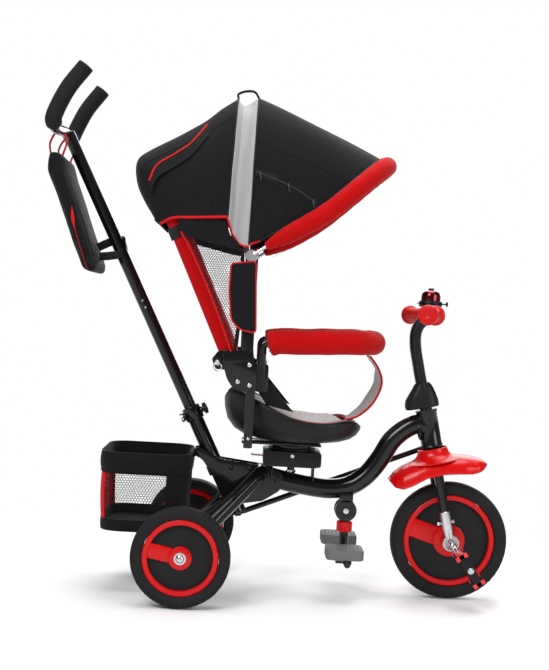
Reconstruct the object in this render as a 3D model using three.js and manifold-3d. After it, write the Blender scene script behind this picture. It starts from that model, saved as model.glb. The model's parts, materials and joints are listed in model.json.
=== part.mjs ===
// Children's tricycle with a parent push handle, swivelling seat and folding canopy.
// Millimetres, +X forward, +Y to the rider's left, +Z up, standing on Z = 0.
import * as THREE from 'three';
import { mergeVertices } from 'three/addons/utils/BufferGeometryUtils.js';
import Module from 'manifold-3d';

const wasm = await Module();
wasm.setup();

// ---- driving dimensions -------------------------------------------------------------
const GAP = 0.3;                 // between pieces that touch
const RUNNING = 0.8;             // radial room round anything that turns or slides
const ORIGIN_X = 182;            // the origin stands this far ahead of the rear axle

const WHEELBASE = 559;
const TRACK = 440;               // between the middles of the rear tyres
const FRONT_RADIUS = 125;
const REAR_RADIUS = 100;
const TYRE_WIDTH = 42;
const FRONT_RIM_RADIUS = 97;
const REAR_RIM_RADIUS = 76;
const RED_RING = 11;             // width of the raised ring on a rim
const AXLE_RADIUS = 6;
const WHEEL_SIDES = 28;

const MAIN_TUBE_RADIUS = 21;
const PLATE = 3;                 // steel plate thickness
const REAR_TUBE_RADIUS = 16;
const BRIDGE_X = 150;            // where the rear fork crosses the frame
const BRIDGE_Z = 250;
const BRIDGE_HALF = 42;

const STEER_TILT = THREE.MathUtils.degToRad(12.15);
const STEER_TRAIL = 3;           // steering axis behind the front axle
const STEERER_RADIUS = 13;
const HEAD_TUBE_RADIUS = 22;
const HEAD_LOW = 201;            // heights along the steering axis, from the axle
const HEAD_HIGH = 282;
const FORK_HALF = 40;
const FORK_LEG_RADIUS = 10;
const ARM_REACH = 40;            // steering arm, column crank and rod, off the middle
const STEM_TOP = 477;
const STEM_REACH = 47;
const BAR_RADIUS = 11;
const BAR_HALF = 152;
const BAR_BEND_Y = 52;
const GRIP_RADIUS = 16;
const FLANGE_RADIUS = 21;
const FENDER_HALF = 56;
const FENDER_WALL = 3;
const CRANK_REACH = 48;
const CRANK_ANGLE = THREE.MathUtils.degToRad(-54);
const PEDAL_LENGTH = 72;
const PEDAL_WIDTH = 64;
const PEDAL_THICK = 26;

const COLUMN_TILT = THREE.MathUtils.degToRad(27);
const COLUMN_X = 1;              // middle of the clamp collar
const COLUMN_Z = 366;
const COLUMN_RADIUS = 16;
const COLUMN_LENGTH = 232;
const ROD_RADIUS = 13;
const ROD_LENGTH = 650;          // from the collar to the cross bar
const ROD_INSIDE = 60;
const HANDLE_HALF = 147;
const FOAM_RADIUS = 17;

const SWIVEL_X = 215;
const SWIVEL_LOW = 268;
const SWIVEL_HIGH = 306;
const SEAT_HALF = 130;
const SEAT_ROUND = 165;          // the seat's outline in plan
const SIDE_BAR = 5.6;            // thickness of the seat's side frames
const RECLINE_X = 93;
const RECLINE_Z = 446;
const RECLINE_TILT = THREE.MathUtils.degToRad(25.1);
const BACK_LENGTH = 350;
const BACK_RAIL_Y = SEAT_HALF - 6;
const BACK_RAIL_RADIUS = 9;
const BAR_FOAM_RADIUS = 25;
const SOCKET_X = 139;

const PIVOT_X = 107;             // canopy pivot
const PIVOT_Z = 701;
const CANOPY_HALF = 150;
const CANOPY_TOP = 1030;
const CANOPY_WALL = 3;
const BRIM_TILT = THREE.MathUtils.degToRad(37);
const BRIM_REACH = 344;
const BRIM_RADIUS = 18;

const FOOT_X = 336;
const FOOT_Z = 178;
const BASKET_HALF = 122;
const BASKET_TOP = 290;
const BASKET_LOW = 126;

// ---- finishes: colour, roughness, metalness ------------------------------------------
const FINISH = {
  paint: [0x141415, 0.28, 0.4],
  plastic: [0x18181a, 0.55, 0],
  red: [0xc80f14, 0.25, 0],
  chrome: [0xb9bdc0, 0.2, 1],
  foam: [0x1a1a1a, 0.95, 0],
  tyre: [0x151515, 0.9, 0],
  cloth: [0x1d1d1e, 0.95, 0],
  redCloth: [0xc41219, 0.95, 0],
  greyCloth: [0xb9b9b7, 0.95, 0],
  bell: [0x7a1520, 0.25, 0.9],
};

// ---- solids ----------------------------------------------------------------------------
const v = (x, y, z) => new THREE.Vector3(x, y, z);

function solid(shape) {
  if (!shape.isBufferGeometry) return shape;
  const bare = shape.index ? shape.toNonIndexed() : shape.clone();
  bare.deleteAttribute('normal');
  bare.deleteAttribute('uv');
  const merged = mergeVertices(bare, 1e-4);
  const corners = Array.from(merged.index.array);
  const kept = [];
  for (let i = 0; i < corners.length; i += 3) {
    const [a, b, c] = corners.slice(i, i + 3);
    if (a !== b && b !== c && c !== a) kept.push(a, b, c);
  }
  return new wasm.Manifold(new wasm.Mesh({
    numProp: 3,
    vertProperties: Float32Array.from(merged.attributes.position.array),
    triVerts: Uint32Array.from(kept),
  }));
}

function join(...shapes) {
  return shapes.map(solid).reduce((whole, next) => whole.add(next));
}

function cut(shape, ...tools) {
  return tools.reduce((whole, tool) => whole.subtract(solid(tool)), solid(shape));
}

function common(a, b) {
  return solid(a).intersect(solid(b));
}

function geometryOf(shape) {
  const mesh = solid(shape).getMesh();
  const geometry = new THREE.BufferGeometry();
  geometry.setAttribute('position', new THREE.BufferAttribute(mesh.vertProperties, 3));
  geometry.setIndex(new THREE.BufferAttribute(mesh.triVerts, 1));
  const flat = geometry.toNonIndexed();
  flat.computeVertexNormals();
  return flat;
}

function ring(radius, sides) {
  const points = [];
  for (let i = 0; i < sides; i += 1) {
    const angle = (2 * Math.PI * i) / sides;
    points.push(new THREE.Vector2(radius * Math.cos(angle), radius * Math.sin(angle)));
  }
  return new THREE.Shape(points);
}

// a round bar swept along a curve
function sweep(path, radius, steps, sides = 10) {
  const section = ring(radius, sides);
  return new THREE.ExtrudeGeometry(section, { steps, bevelEnabled: false, extrudePath: path });
}

// straight runs joined by smooth bends
function bentPath(corners, bend) {
  const path = new THREE.CurvePath();
  let from = corners[0];
  for (let i = 1; i < corners.length - 1; i += 1) {
    const here = corners[i];
    const start = here.clone().add(corners[i - 1].clone().sub(here).setLength(bend));
    const end = here.clone().add(corners[i + 1].clone().sub(here).setLength(bend));
    path.add(new THREE.LineCurve3(from, start));
    path.add(new THREE.QuadraticBezierCurve3(start, here, end));
    from = end;
  }
  path.add(new THREE.LineCurve3(from, corners[corners.length - 1]));
  return path;
}

function smoothPath(points) {
  return new THREE.CatmullRomCurve3(points, false, 'centripetal');
}

function rod(a, b, radius, sides = 12) {
  const run = b.clone().sub(a);
  const shape = new THREE.CylinderGeometry(radius, radius, run.length(), sides);
  const turn = new THREE.Quaternion().setFromUnitVectors(v(0, 1, 0), run.normalize());
  shape.applyQuaternion(turn);
  return shape.translate((a.x + b.x) / 2, (a.y + b.y) / 2, (a.z + b.z) / 2);
}

function block(x0, x1, y0, y1, z0, z1) {
  const shape = new THREE.BoxGeometry(x1 - x0, y1 - y0, z1 - z0);
  return shape.translate((x0 + x1) / 2, (y0 + y1) / 2, (z0 + z1) / 2);
}

// a side outline in X and Z, extruded from y0 to y1
function slab(outline, y0, y1) {
  const shape = new THREE.Shape(outline.map(([x, z]) => new THREE.Vector2(x, z)));
  const body = new THREE.ExtrudeGeometry(shape, { depth: y1 - y0, bevelEnabled: false });
  return body.rotateX(Math.PI / 2).translate(0, y1, 0);
}

// turned about the Y axis from a closed profile of [radius, y]
function turned(profile, sides = WHEEL_SIDES) {
  const points = profile.map(([radius, y]) => new THREE.Vector2(radius, y));
  return new THREE.LatheGeometry(points, sides).rotateY(Math.PI / sides);
}

// turned about a vertical axis
function turnedUp(profile, sides = 20) {
  const points = profile.map(([radius, z]) => new THREE.Vector2(radius, z));
  return new THREE.LatheGeometry(points, sides).rotateX(Math.PI / 2);
}

const trike = new THREE.Group();
trike.position.x = -ORIGIN_X;

function piece(name, finish, shape, parent = trike) {
  const [color, roughness, metalness] = FINISH[finish];
  const material = new THREE.MeshStandardMaterial({ color, roughness, metalness });
  const mesh = new THREE.Mesh(geometryOf(shape), material);
  mesh.name = name;
  parent.add(mesh);
  return mesh;
}

const sides = [['right', -1], ['left', 1]];

// ---- steering axis and column axis -----------------------------------------------------
const front = new THREE.Group();          // z runs up the steering axis, from the axle
front.position.set(WHEELBASE - STEER_TRAIL, 0, FRONT_RADIUS);
front.rotation.y = -STEER_TILT;
trike.add(front);
front.updateMatrix();

function fromFront(shape) {
  return shape.applyMatrix4(front.matrix);
}

const downColumn = v(Math.sin(COLUMN_TILT), 0, -Math.cos(COLUMN_TILT));
const aheadColumn = v(Math.cos(COLUMN_TILT), 0, Math.sin(COLUMN_TILT));

// a point at a distance down the column, ahead of it and to the left
function onColumn(down, ahead = 0, y = 0) {
  const point = v(COLUMN_X, y, COLUMN_Z).addScaledVector(downColumn, down);
  return point.addScaledVector(aheadColumn, ahead);
}

// ---- wheels ------------------------------------------------------------------------------
function tyreProfile(radius, rimRadius) {
  const flat = radius / Math.cos(Math.PI / WHEEL_SIDES);
  const half = TYRE_WIDTH / 2;
  const inner = rimRadius + GAP;
  return [
    [inner, -0.7 * half], [radius - 14, -half], [radius - 4, -0.82 * half], [flat, -0.4 * half],
    [flat, 0.4 * half], [radius - 4, 0.82 * half], [radius - 14, half], [inner, 0.7 * half],
    [inner, -0.7 * half],
  ];
}

function rimSolid(rimRadius, hubRadius, hubHalf, spokeWidth, spokeAngle) {
  const bore = AXLE_RADIUS + RUNNING;
  const ringIn = rimRadius - RED_RING;
  const web = 4;
  const ringHalf = 14;
  const disc = turned([
    [bore, -hubHalf], [hubRadius, -hubHalf], [hubRadius, -web], [ringIn, -web],
    [ringIn, -ringHalf], [rimRadius, -ringHalf], [rimRadius, ringHalf], [ringIn, ringHalf],
    [ringIn, web], [hubRadius, web], [hubRadius, hubHalf], [bore, hubHalf], [bore, -hubHalf],
  ]);
  const spoke = block(hubRadius - 4, ringIn + 3, -ringHalf + 2, ringHalf - 2, -spokeWidth / 2, spokeWidth / 2);
  spoke.rotateY(-spokeAngle);
  return join(disc, spoke);
}

const SPOKE_UP = THREE.MathUtils.degToRad(163);
piece('front_tyre', 'tyre', turned(tyreProfile(FRONT_RADIUS, FRONT_RIM_RADIUS)))
  .position.set(WHEELBASE, 0, FRONT_RADIUS);
piece('front_rim', 'red', rimSolid(FRONT_RIM_RADIUS, 34, 18, 40, SPOKE_UP))
  .position.set(WHEELBASE, 0, FRONT_RADIUS);

for (const [name, side] of sides) {
  piece(`rear_tyre_${name}`, 'tyre', turned(tyreProfile(REAR_RADIUS, REAR_RIM_RADIUS)))
    .position.set(0, side * TRACK / 2, REAR_RADIUS);
  piece(`rear_rim_${name}`, 'red', rimSolid(REAR_RIM_RADIUS, 23, 18, 30, SPOKE_UP + 0.1))
    .position.set(0, side * TRACK / 2, REAR_RADIUS);
}

// ---- crank and pedals: the axle turns in the fork tips ------------------------------------
const crankEnd = FORK_HALF + 20;
const throwX = CRANK_REACH * Math.cos(CRANK_ANGLE);
const throwZ = CRANK_REACH * Math.sin(CRANK_ANGLE);
const PEDAL_IN = crankEnd + 14;
const crankParts = [rod(v(0, -crankEnd, 0), v(0, crankEnd, 0), AXLE_RADIUS)];
for (const [, side] of sides) {
  const pin = v(-side * throwX, side * crankEnd, -side * throwZ);
  const tip = pin.clone().setY(side * (PEDAL_IN + PEDAL_WIDTH + 4));
  crankParts.push(rod(v(0, side * (crankEnd - 3), 0), pin.clone().setY(side * (crankEnd + 3)), 6));
  crankParts.push(rod(pin.clone().setY(side * (crankEnd - 4)), tip, 5));
}
piece('crank', 'chrome', join(...crankParts)).position.set(WHEELBASE, 0, FRONT_RADIUS);

for (const [name, side] of sides) {
  const near = Math.min(side * PEDAL_IN, side * (PEDAL_IN + PEDAL_WIDTH));
  const body = block(-PEDAL_LENGTH / 2, PEDAL_LENGTH / 2, near, near + PEDAL_WIDTH, -PEDAL_THICK / 2, PEDAL_THICK / 2);
  const bore = rod(v(0, near - 5, 0), v(0, near + PEDAL_WIDTH + 5, 0), 5 + RUNNING);
  const pedal = piece(`pedal_${name}`, 'plastic', cut(body, bore));
  pedal.position.set(WHEELBASE - side * throwX, 0, FRONT_RADIUS - side * throwZ);
  pedal.rotation.y = -CRANK_ANGLE;
}

// ---- fork, drawn about the steering axis ---------------------------------------------------
const CROWN_LOW = 150;
const CROWN_HIGH = 162;
const LEG_END = 68;
const ARM_LOW = 185;
const forkParts = [
  rod(v(0, 0, CROWN_LOW + 2), v(0, 0, HEAD_HIGH + 3), STEERER_RADIUS),
  block(-13, 13, -FORK_HALF - 8, FORK_HALF + 8, CROWN_LOW, CROWN_HIGH),
  rod(v(0, 0, CROWN_HIGH - 1), v(0, 0, HEAD_LOW - 1), STEERER_RADIUS + 5),
  block(-8, 8, 0, ARM_REACH + 9, ARM_LOW, ARM_LOW + 5),
  rod(v(0, ARM_REACH, ARM_LOW + 1), v(0, ARM_REACH, ARM_LOW + 22), 4),
];
for (const [, side] of sides) {
  forkParts.push(rod(v(0, side * FORK_HALF, LEG_END), v(0, side * FORK_HALF, CROWN_HIGH - 2), FORK_LEG_RADIUS));
}
piece('fork', 'paint', join(...forkParts), front);

const axleAhead = STEER_TRAIL * Math.cos(STEER_TILT);
const axleUp = -STEER_TRAIL * Math.sin(STEER_TILT);
for (const [name, side] of sides) {
  const y = side * FORK_HALF;
  const body = join(
    rod(v(0, y, 10), v(0, y, LEG_END - GAP), FORK_LEG_RADIUS + 1.5),
    rod(v(axleAhead, y - 6, axleUp), v(axleAhead, y + 6, axleUp), 17.5, 28),
    rod(v(-19, y, 43), v(17, y, 43), 3.5, 10),
  );
  const bore = rod(v(axleAhead, y - 20, axleUp), v(axleAhead, y + 20, axleUp), AXLE_RADIUS + RUNNING);
  piece(`fork_tip_${name}`, 'chrome', cut(body, bore), front);
}

// fender: a hood over the wheel with a neck round the steerer
const fx = WHEELBASE - 559;
const fenderOut = [
  [486, 317], [552, 325], [560, 306], [590, 303], [624, 295], [628, 284], [615, 269], [595, 265], [536, 266],
  [500, 257], [470, 240], [444, 233], [428, 244], [428, 254], [446, 271], [470, 284], [482, 298],
].map(([x, z]) => [x + fx, z]);
const fenderIn = [
  [545, 296], [590, 294], [618, 287], [618, 240], [436, 215], [436, 252], [452, 266], [478, 280], [490, 294],
].map(([x, z]) => [x + fx, z]);
const neckHole = fromFront(rod(v(0, 0, 120), v(0, 0, 260), STEERER_RADIUS + 6));
const armHole = fromFront(block(-12, 12, 0, FENDER_HALF + 10, ARM_LOW - 6, ARM_LOW + 30));
const swingRoom = cut(
  fromFront(block(-90, 90, 0, FENDER_HALF + 34, ARM_LOW - 5, ARM_LOW + 60)),
  fromFront(rod(v(0, 0, 150), v(0, 0, 260), 25, 24)),
);
const shoulder = 40;
const neckTrim = [-1, 1].map((side) => block(400 + fx, 660 + fx, side > 0 ? shoulder : -90, side > 0 ? 90 : -shoulder, 306, 340));
const underHead = fromFront(rod(v(0, 0, HEAD_LOW - 2), v(0, 0, HEAD_LOW + 60), HEAD_TUBE_RADIUS + 14));
piece('fender', 'red', cut(
  slab(fenderOut, -FENDER_HALF, FENDER_HALF),
  slab(fenderIn, -FENDER_HALF + FENDER_WALL, FENDER_HALF - FENDER_WALL),
  neckHole, armHole, swingRoom, underHead, ...neckTrim,
));

// stem, cover, handlebar and grips
const barEnd = (side) => v(STEM_REACH - 33, side * BAR_HALF, STEM_TOP + 7);
const barKnee = (side) => v(STEM_REACH, side * BAR_BEND_Y, STEM_TOP);
const barLine = bentPath([barEnd(-1), barKnee(-1), barKnee(1), barEnd(1)], 18);
const handlebar = (radius) => sweep(barLine, radius, 14, 10);
piece('handlebar', 'paint', handlebar(BAR_RADIUS), front);

const STEM_RADIUS = 13;
const stemPath = smoothPath([
  v(0, 0, HEAD_HIGH + 3 + GAP), v(-2, 0, 380), v(-1, 0, 425), v(6, 0, 452), v(20, 0, 468),
  v(STEM_REACH, 0, STEM_TOP),
]);
piece('stem', 'plastic', cut(sweep(stemPath, STEM_RADIUS, 12, 10), handlebar(BAR_RADIUS + GAP)), front);

const coverOutline = [[-42, 286.5], [28, 286.5], [29, 296], [18, 338], [-16, 340], [-24, 310], [-44, 300]];
const coverBore = rod(v(-1, 0, 270), v(-1, 0, 360), STEM_RADIUS + 3);
piece('stem_cover', 'plastic', cut(slab(coverOutline, -24, 24), coverBore), front);

for (const [name, side] of sides) {
  const run = barEnd(side).sub(barKnee(side)).normalize();
  const at = (distance) => barKnee(side).addScaledVector(run, distance);
  const length = barEnd(side).distanceTo(barKnee(side));
  const grip = join(
    rod(at(20), at(length - 3), GRIP_RADIUS),
    rod(at(20), at(25), FLANGE_RADIUS),
    rod(at(length - 8), at(length + 2), FLANGE_RADIUS),
  );
  piece(`grip_${name}`, 'red', cut(grip, handlebar(BAR_RADIUS + GAP), rod(at(length - 20), at(length + GAP), BAR_RADIUS + GAP)), front);
}

// bell on the left of the stem, upright
const BELL_Y = 38;
const bell = new THREE.Group();
bell.position.set(STEM_REACH, BELL_Y, STEM_TOP);
bell.rotation.y = STEER_TILT;
front.add(bell);
const bellClamp = join(
  rod(v(0, -6, 0), v(0, 6, 0), BAR_RADIUS + 4),
  rod(v(-3, 0, 12), v(-3, 0, 20), 9),
  rod(v(-3, 0, 18), v(-3, 0, 31), 25, 28),
);
const leverRoom = block(6, 30, -9, 9, 23, 29);
piece('bell_base', 'plastic', cut(bellClamp, rod(v(0, -20, 0), v(0, 20, 0), BAR_RADIUS + 2), leverRoom), bell);
piece('bell_dome', 'bell', turnedUp([[0, 31.4], [21, 31.4], [21, 38], [18, 47], [11, 53], [5, 55], [5, 59], [0, 59]])
  .translate(-3, 0, 0), bell);
const leverSolid = join(block(9, 33, -2.5, 2.5, 24.5, 27.5), block(31, 34, -7, 7, 21, 31));
piece('bell_lever', 'plastic', leverSolid, bell);

// ---- frame ---------------------------------------------------------------------------------
const headMiddle = v(0, 0, (HEAD_LOW + HEAD_HIGH) / 2).applyMatrix4(front.matrix);
const MAIN_START = BRIDGE_X + REAR_TUBE_RADIUS + 6;
const mainPath = smoothPath([
  v(MAIN_START, 0, 239), v(229, 0, 228), v(300 + fx / 2, 0, 221), v(341 + fx, 0, 229), v(375 + fx, 0, 252),
  v(403 + fx, 0, 289), v(428 + fx, 0, 332), v(458 + fx, 0, 359), v(483 + fx, 0, 369), headMiddle,
]);
const headTube = fromFront(rod(v(0, 0, HEAD_LOW), v(0, 0, HEAD_HIGH), HEAD_TUBE_RADIUS, 20));
const headBore = fromFront(rod(v(0, 0, HEAD_LOW - 20), v(0, 0, HEAD_HIGH + 20), STEERER_RADIUS + RUNNING, 20));
const mainTube = (radius) => sweep(mainPath, radius, 20, 12);
piece('main_frame', 'paint', cut(join(mainTube(MAIN_TUBE_RADIUS), headTube), headBore));

// rear fork: one bent tube across the frame, with a bush for the axle at each end
const BUSH_OUT = TRACK / 2 - TYRE_WIDTH / 2 - 4;
const legFoot = (side) => v(4, side * (BUSH_OUT - 14), REAR_RADIUS + 4);
const legKnee = (side) => v(BRIDGE_X, side * BRIDGE_HALF, BRIDGE_Z);
const rearCorners = [legFoot(-1), legKnee(-1), legKnee(1), legFoot(1)];
const axleRoom = rod(v(0, -TRACK, REAR_RADIUS), v(0, TRACK, REAR_RADIUS), AXLE_RADIUS + GAP);
const rearLine = bentPath(rearCorners, 26);
const rearTube = (radius) => sweep(rearLine, radius, 18, 10);
const bushes = sides.map(([, side]) => rod(v(0, side * (BUSH_OUT - 32), REAR_RADIUS), v(0, side * BUSH_OUT, REAR_RADIUS), REAR_TUBE_RADIUS - 1));
piece('rear_fork', 'paint', cut(join(rearTube(REAR_TUBE_RADIUS), ...bushes), axleRoom));

const NUT_IN = TRACK / 2 + 18 + 1.5;
const axleParts = [rod(v(0, -NUT_IN - 6, REAR_RADIUS), v(0, NUT_IN + 6, REAR_RADIUS), AXLE_RADIUS)];
for (const [, side] of sides) {
  axleParts.push(rod(v(0, side * NUT_IN, REAR_RADIUS), v(0, side * (NUT_IN + 3), REAR_RADIUS), 12));
  axleParts.push(rod(v(0, side * (NUT_IN + 2), REAR_RADIUS), v(0, side * (NUT_IN + 8), REAR_RADIUS), 9, 6));
}
piece('rear_axle', 'chrome', join(...axleParts));

// rear channel: two plates round the main tube, the rear fork and the column
const CHEEK = MAIN_TUBE_RADIUS + GAP;
const cheekOutline = [
  [8, 296], [8, 280], [26, 272], [44, 248], [74, 190], [104, 181], [158, 190], [MAIN_START + 22, 214],
  [MAIN_START + 26, 250], [BRIDGE_X + 10, 264], [64, 275], [24, 296],
];
const columnRoom = rod(onColumn(-60), onColumn(COLUMN_LENGTH + 40), COLUMN_RADIUS + RUNNING, 20);
const bushAt = (down) => rod(onColumn(down - 10), onColumn(down + 10), CHEEK + 0.6, 20);
const bolts = [[88, 258], [128, 258], [120, 214], [MAIN_START + 14, 236]].map(([x, z]) => [
  rod(v(x, -CHEEK - PLATE - 4, z), v(x, -CHEEK - PLATE + 1, z), 5.5, 6),
  rod(v(x, CHEEK + PLATE - 1, z), v(x, CHEEK + PLATE + 4, z), 5.5, 6),
]).flat();
piece('rear_channel', 'paint', cut(
  join(
    slab(cheekOutline, -CHEEK - PLATE, -CHEEK), slab(cheekOutline, CHEEK, CHEEK + PLATE),
    bushAt(126), bushAt(196), ...bolts,
  ),
  columnRoom, rearTube(REAR_TUBE_RADIUS + GAP), mainTube(MAIN_TUBE_RADIUS + GAP),
));

// ---- column, clamp knob, steering rod --------------------------------------------------------
const SCREW_RADIUS = 3.5;
const crankLow = COLUMN_LENGTH - 8;
const columnParts = [
  rod(onColumn(-12), onColumn(COLUMN_LENGTH), COLUMN_RADIUS, 20),
  rod(onColumn(-15), onColumn(14), COLUMN_RADIUS + 3.5, 20),
  rod(onColumn(0), onColumn(0, COLUMN_RADIUS + 6), 7.5),
  rod(onColumn(0), onColumn(0, -COLUMN_RADIUS - 8), 6),
  rod(onColumn(crankLow - 4), onColumn(COLUMN_LENGTH), COLUMN_RADIUS + 4, 20),
  rod(onColumn(crankLow + 4, 0, ARM_REACH), onColumn(crankLow + 22, 0, ARM_REACH), 4),
];
const columnArm = block(-9, 9, 0, ARM_REACH + 8, -3, 3);
columnArm.rotateY(-COLUMN_TILT);
const armAt = onColumn(crankLow + 5);
columnArm.translate(armAt.x, 0, armAt.z);
const rodRoom = rod(onColumn(-40), onColumn(COLUMN_LENGTH - 16), ROD_RADIUS + RUNNING, 20);
const screwRoom = rod(onColumn(0), onColumn(0, 60), SCREW_RADIUS + RUNNING, 12);
piece('steering_column', 'paint', cut(join(...columnParts, columnArm), rodRoom, screwRoom));

piece('clamp_knob', 'plastic', join(
  rod(onColumn(0, ROD_RADIUS + 1), onColumn(0, COLUMN_RADIUS + 8), SCREW_RADIUS),
  rod(onColumn(0, COLUMN_RADIUS + 6.6), onColumn(0, COLUMN_RADIUS + 17), 8),
  rod(onColumn(-12, COLUMN_RADIUS + 12), onColumn(12, COLUMN_RADIUS + 12), 4),
));

const rodFront = v(0, ARM_REACH, ARM_LOW + 14).applyMatrix4(front.matrix);
const rodRear = onColumn(crankLow + 15, 0, ARM_REACH);
const rodRun = rodRear.clone().sub(rodFront).normalize();
const eyeAxis = v(0, 0, 1).transformDirection(front.matrix);
const pinRoom = rod(rodFront.clone().addScaledVector(eyeAxis, -12), rodFront.clone().addScaledVector(eyeAxis, 20), 5);
const eye = (centre, axis, radius, half) => rod(
  centre.clone().addScaledVector(axis, -half), centre.clone().addScaledVector(axis, half), radius);
piece('steering_rod', 'paint', cut(
  join(
    rod(rodFront.clone().addScaledVector(rodRun, 6), rodRear.clone().addScaledVector(rodRun, -8), 6, 16),
    eye(rodFront, eyeAxis, 10, 4.5), eye(rodRear, downColumn, 10, 4.5),
  ),
  pinRoom, eye(rodRear, downColumn, 5.6, 20),
));

// ---- push handle -------------------------------------------------------------------------------
const handleTop = onColumn(-ROD_LENGTH);
const gripPath = (side) => [
  v(handleTop.x - 14, side * HANDLE_HALF, handleTop.z + 4),
  v(handleTop.x - 5, side * HANDLE_HALF, handleTop.z + 26),
  v(handleTop.x + 17, side * HANDLE_HALF, handleTop.z + 72),
  v(handleTop.x + 46, side * HANDLE_HALF, handleTop.z + 112),
];
const handleCorners = [
  gripPath(-1)[3], gripPath(-1)[2], gripPath(-1)[1], v(handleTop.x - 10, -HANDLE_HALF + 8, handleTop.z),
  v(handleTop.x - 6, 0, handleTop.z), v(handleTop.x - 10, HANDLE_HALF - 8, handleTop.z),
  gripPath(1)[1], gripPath(1)[2], gripPath(1)[3],
];
const CROSS_RADIUS = 11;
const handleLine = smoothPath(handleCorners);
const crossBar = (radius) => sweep(handleLine, radius, 28, 8);
piece('push_rod', 'paint', join(
  rod(onColumn(ROD_INSIDE), onColumn(-ROD_LENGTH), ROD_RADIUS, 20),
  crossBar(CROSS_RADIUS),
));
for (const [name, side] of sides) {
  const foamPath = smoothPath(gripPath(side).slice(1).concat(gripPath(side)[3].clone().add(v(5, 0, 7))));
  piece(`push_grip_${name}`, 'foam', cut(sweep(foamPath, FOAM_RADIUS, 6, 10), crossBar(CROSS_RADIUS + GAP + 0.2)));
}

const bagOutline = [[-24, -50], [-26, -84], [-6, -128], [37, -237], [62, -292], [76, -298], [86, -290],
  [56, -210], [34, -150], [12, -95], [-2, -50]].map(([x, z]) => [handleTop.x + x, handleTop.z + z]);
piece('bag', 'cloth', slab(bagOutline, -100, 100));

// ---- seat --------------------------------------------------------------------------------------
const SWIVEL_BOX = [154, 276].map((x) => x - 215 + SWIVEL_X);
const boltRoom = rod(v(SWIVEL_X, 0, 200), v(SWIVEL_X, 0, 340), 8 + RUNNING);
const leverSlot = block(SWIVEL_BOX[0] - 4, SWIVEL_BOX[0] + 26, -12, 12, 276, 294);
piece('swivel_base', 'plastic', cut(
  join(
    block(...SWIVEL_BOX, -56, 56, SWIVEL_LOW + GAP, SWIVEL_HIGH - 6),
    rod(v(SWIVEL_X, 0, SWIVEL_HIGH - 8), v(SWIVEL_X, 0, SWIVEL_HIGH), 50, 32),
  ),
  boltRoom, leverSlot,
));
piece('swivel_lever', 'red', join(
  block(SWIVEL_BOX[0] - 26, SWIVEL_BOX[0] + 20, -9, 9, 283.5, 286.5),
));

const SADDLE_HALF = Math.max(28, CHEEK + PLATE + 2 * GAP + 4);
const saddle = [block(166, 268, -SADDLE_HALF, SADDLE_HALF, SWIVEL_LOW - PLATE, SWIVEL_LOW)];
for (const x of [170, 258]) {
  for (const [, side] of sides) {
    const y = side * (CHEEK + PLATE + 2 * GAP);
    saddle.push(block(x, x + 8, Math.min(y, y + side * 4), Math.max(y, y + side * 4), 236, SWIVEL_LOW - 1));
  }
}
const saddleX = SWIVEL_X - 215;
piece('seat_bracket', 'paint', cut(join(...saddle).translate([saddleX, 0, 0]), boltRoom));

const SEAT_LOW = 317;
piece('seat_plate', 'paint', join(
  rod(v(SWIVEL_X, 0, SWIVEL_LOW - 9), v(SWIVEL_X, 0, SWIVEL_HIGH + 2), 8),
  rod(v(SWIVEL_X, 0, SWIVEL_LOW - 12), v(SWIVEL_X, 0, SWIVEL_LOW - 4), 11, 6),
  rod(v(SWIVEL_X, 0, SWIVEL_HIGH + 0.5), v(SWIVEL_X, 0, SEAT_LOW - 4), 47, 32),
  block(107, 275, -45, 45, SEAT_LOW - 5, SEAT_LOW),
  block(111, 129, -SEAT_HALF - 6, SEAT_HALF + 6, SEAT_LOW - 5, SEAT_LOW),
));

const shellOut = [
  [66, 404], [68, 418], [84, 427], [104, 421], [145, 403], [203, 374], [265, 359], [325, 367], [347, 363],
  [358, 348], [353, 332], [330, SEAT_LOW + 9], [298, SEAT_LOW + 4], [140, SEAT_LOW + 4], [122, 334], [104, 358], [78, 390],
];
const scoop = [[90, 460], [90, 420], [102, 402], [150, 370], [210, 352], [270, 347], [322, 364], [334, 384], [334, 460]];
const seatRound = (radius) => rod(v(SWIVEL_X - 7, 0, 250), v(SWIVEL_X - 7, 0, 500), radius, 40);
piece('seat_shell', 'plastic', cut(
  common(slab(shellOut, -SEAT_HALF, SEAT_HALF), seatRound(SEAT_ROUND)),
  common(slab(scoop, -SEAT_HALF + 20, SEAT_HALF - 20), seatRound(SEAT_ROUND - 16)),
));
const padOut = [[95, 424], [104, 404], [151, 373], [210, 355], [269, 350], [319, 367], [330, 386], [318, 396],
  [270, 382], [214, 386], [160, 404], [112, 432]];
piece('seat_pad', 'greyCloth', common(slab(padOut, -SEAT_HALF + 22, SEAT_HALF - 22), seatRound(SEAT_ROUND - 18)));

const SIDE_IN = SEAT_HALF + 6 + GAP;
const SIDE_OUT = SIDE_IN + SIDE_BAR;
const sideOutline = [
  [111, SEAT_LOW - 5], [129, SEAT_LOW - 5], [129, 440], [121, 470], [121, PIVOT_Z + 8], [115, PIVOT_Z + 12],
  [101, PIVOT_Z + 12], [95, PIVOT_Z + 8], [95, 500], [111, 430],
];
const hingeOutline = [
  [60, 509], [122, 509], [124, 484], [154, 484], [154, 428], [126, 428], [99, 426], [82, 440], [68, 466], [61, 490],
];
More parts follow.
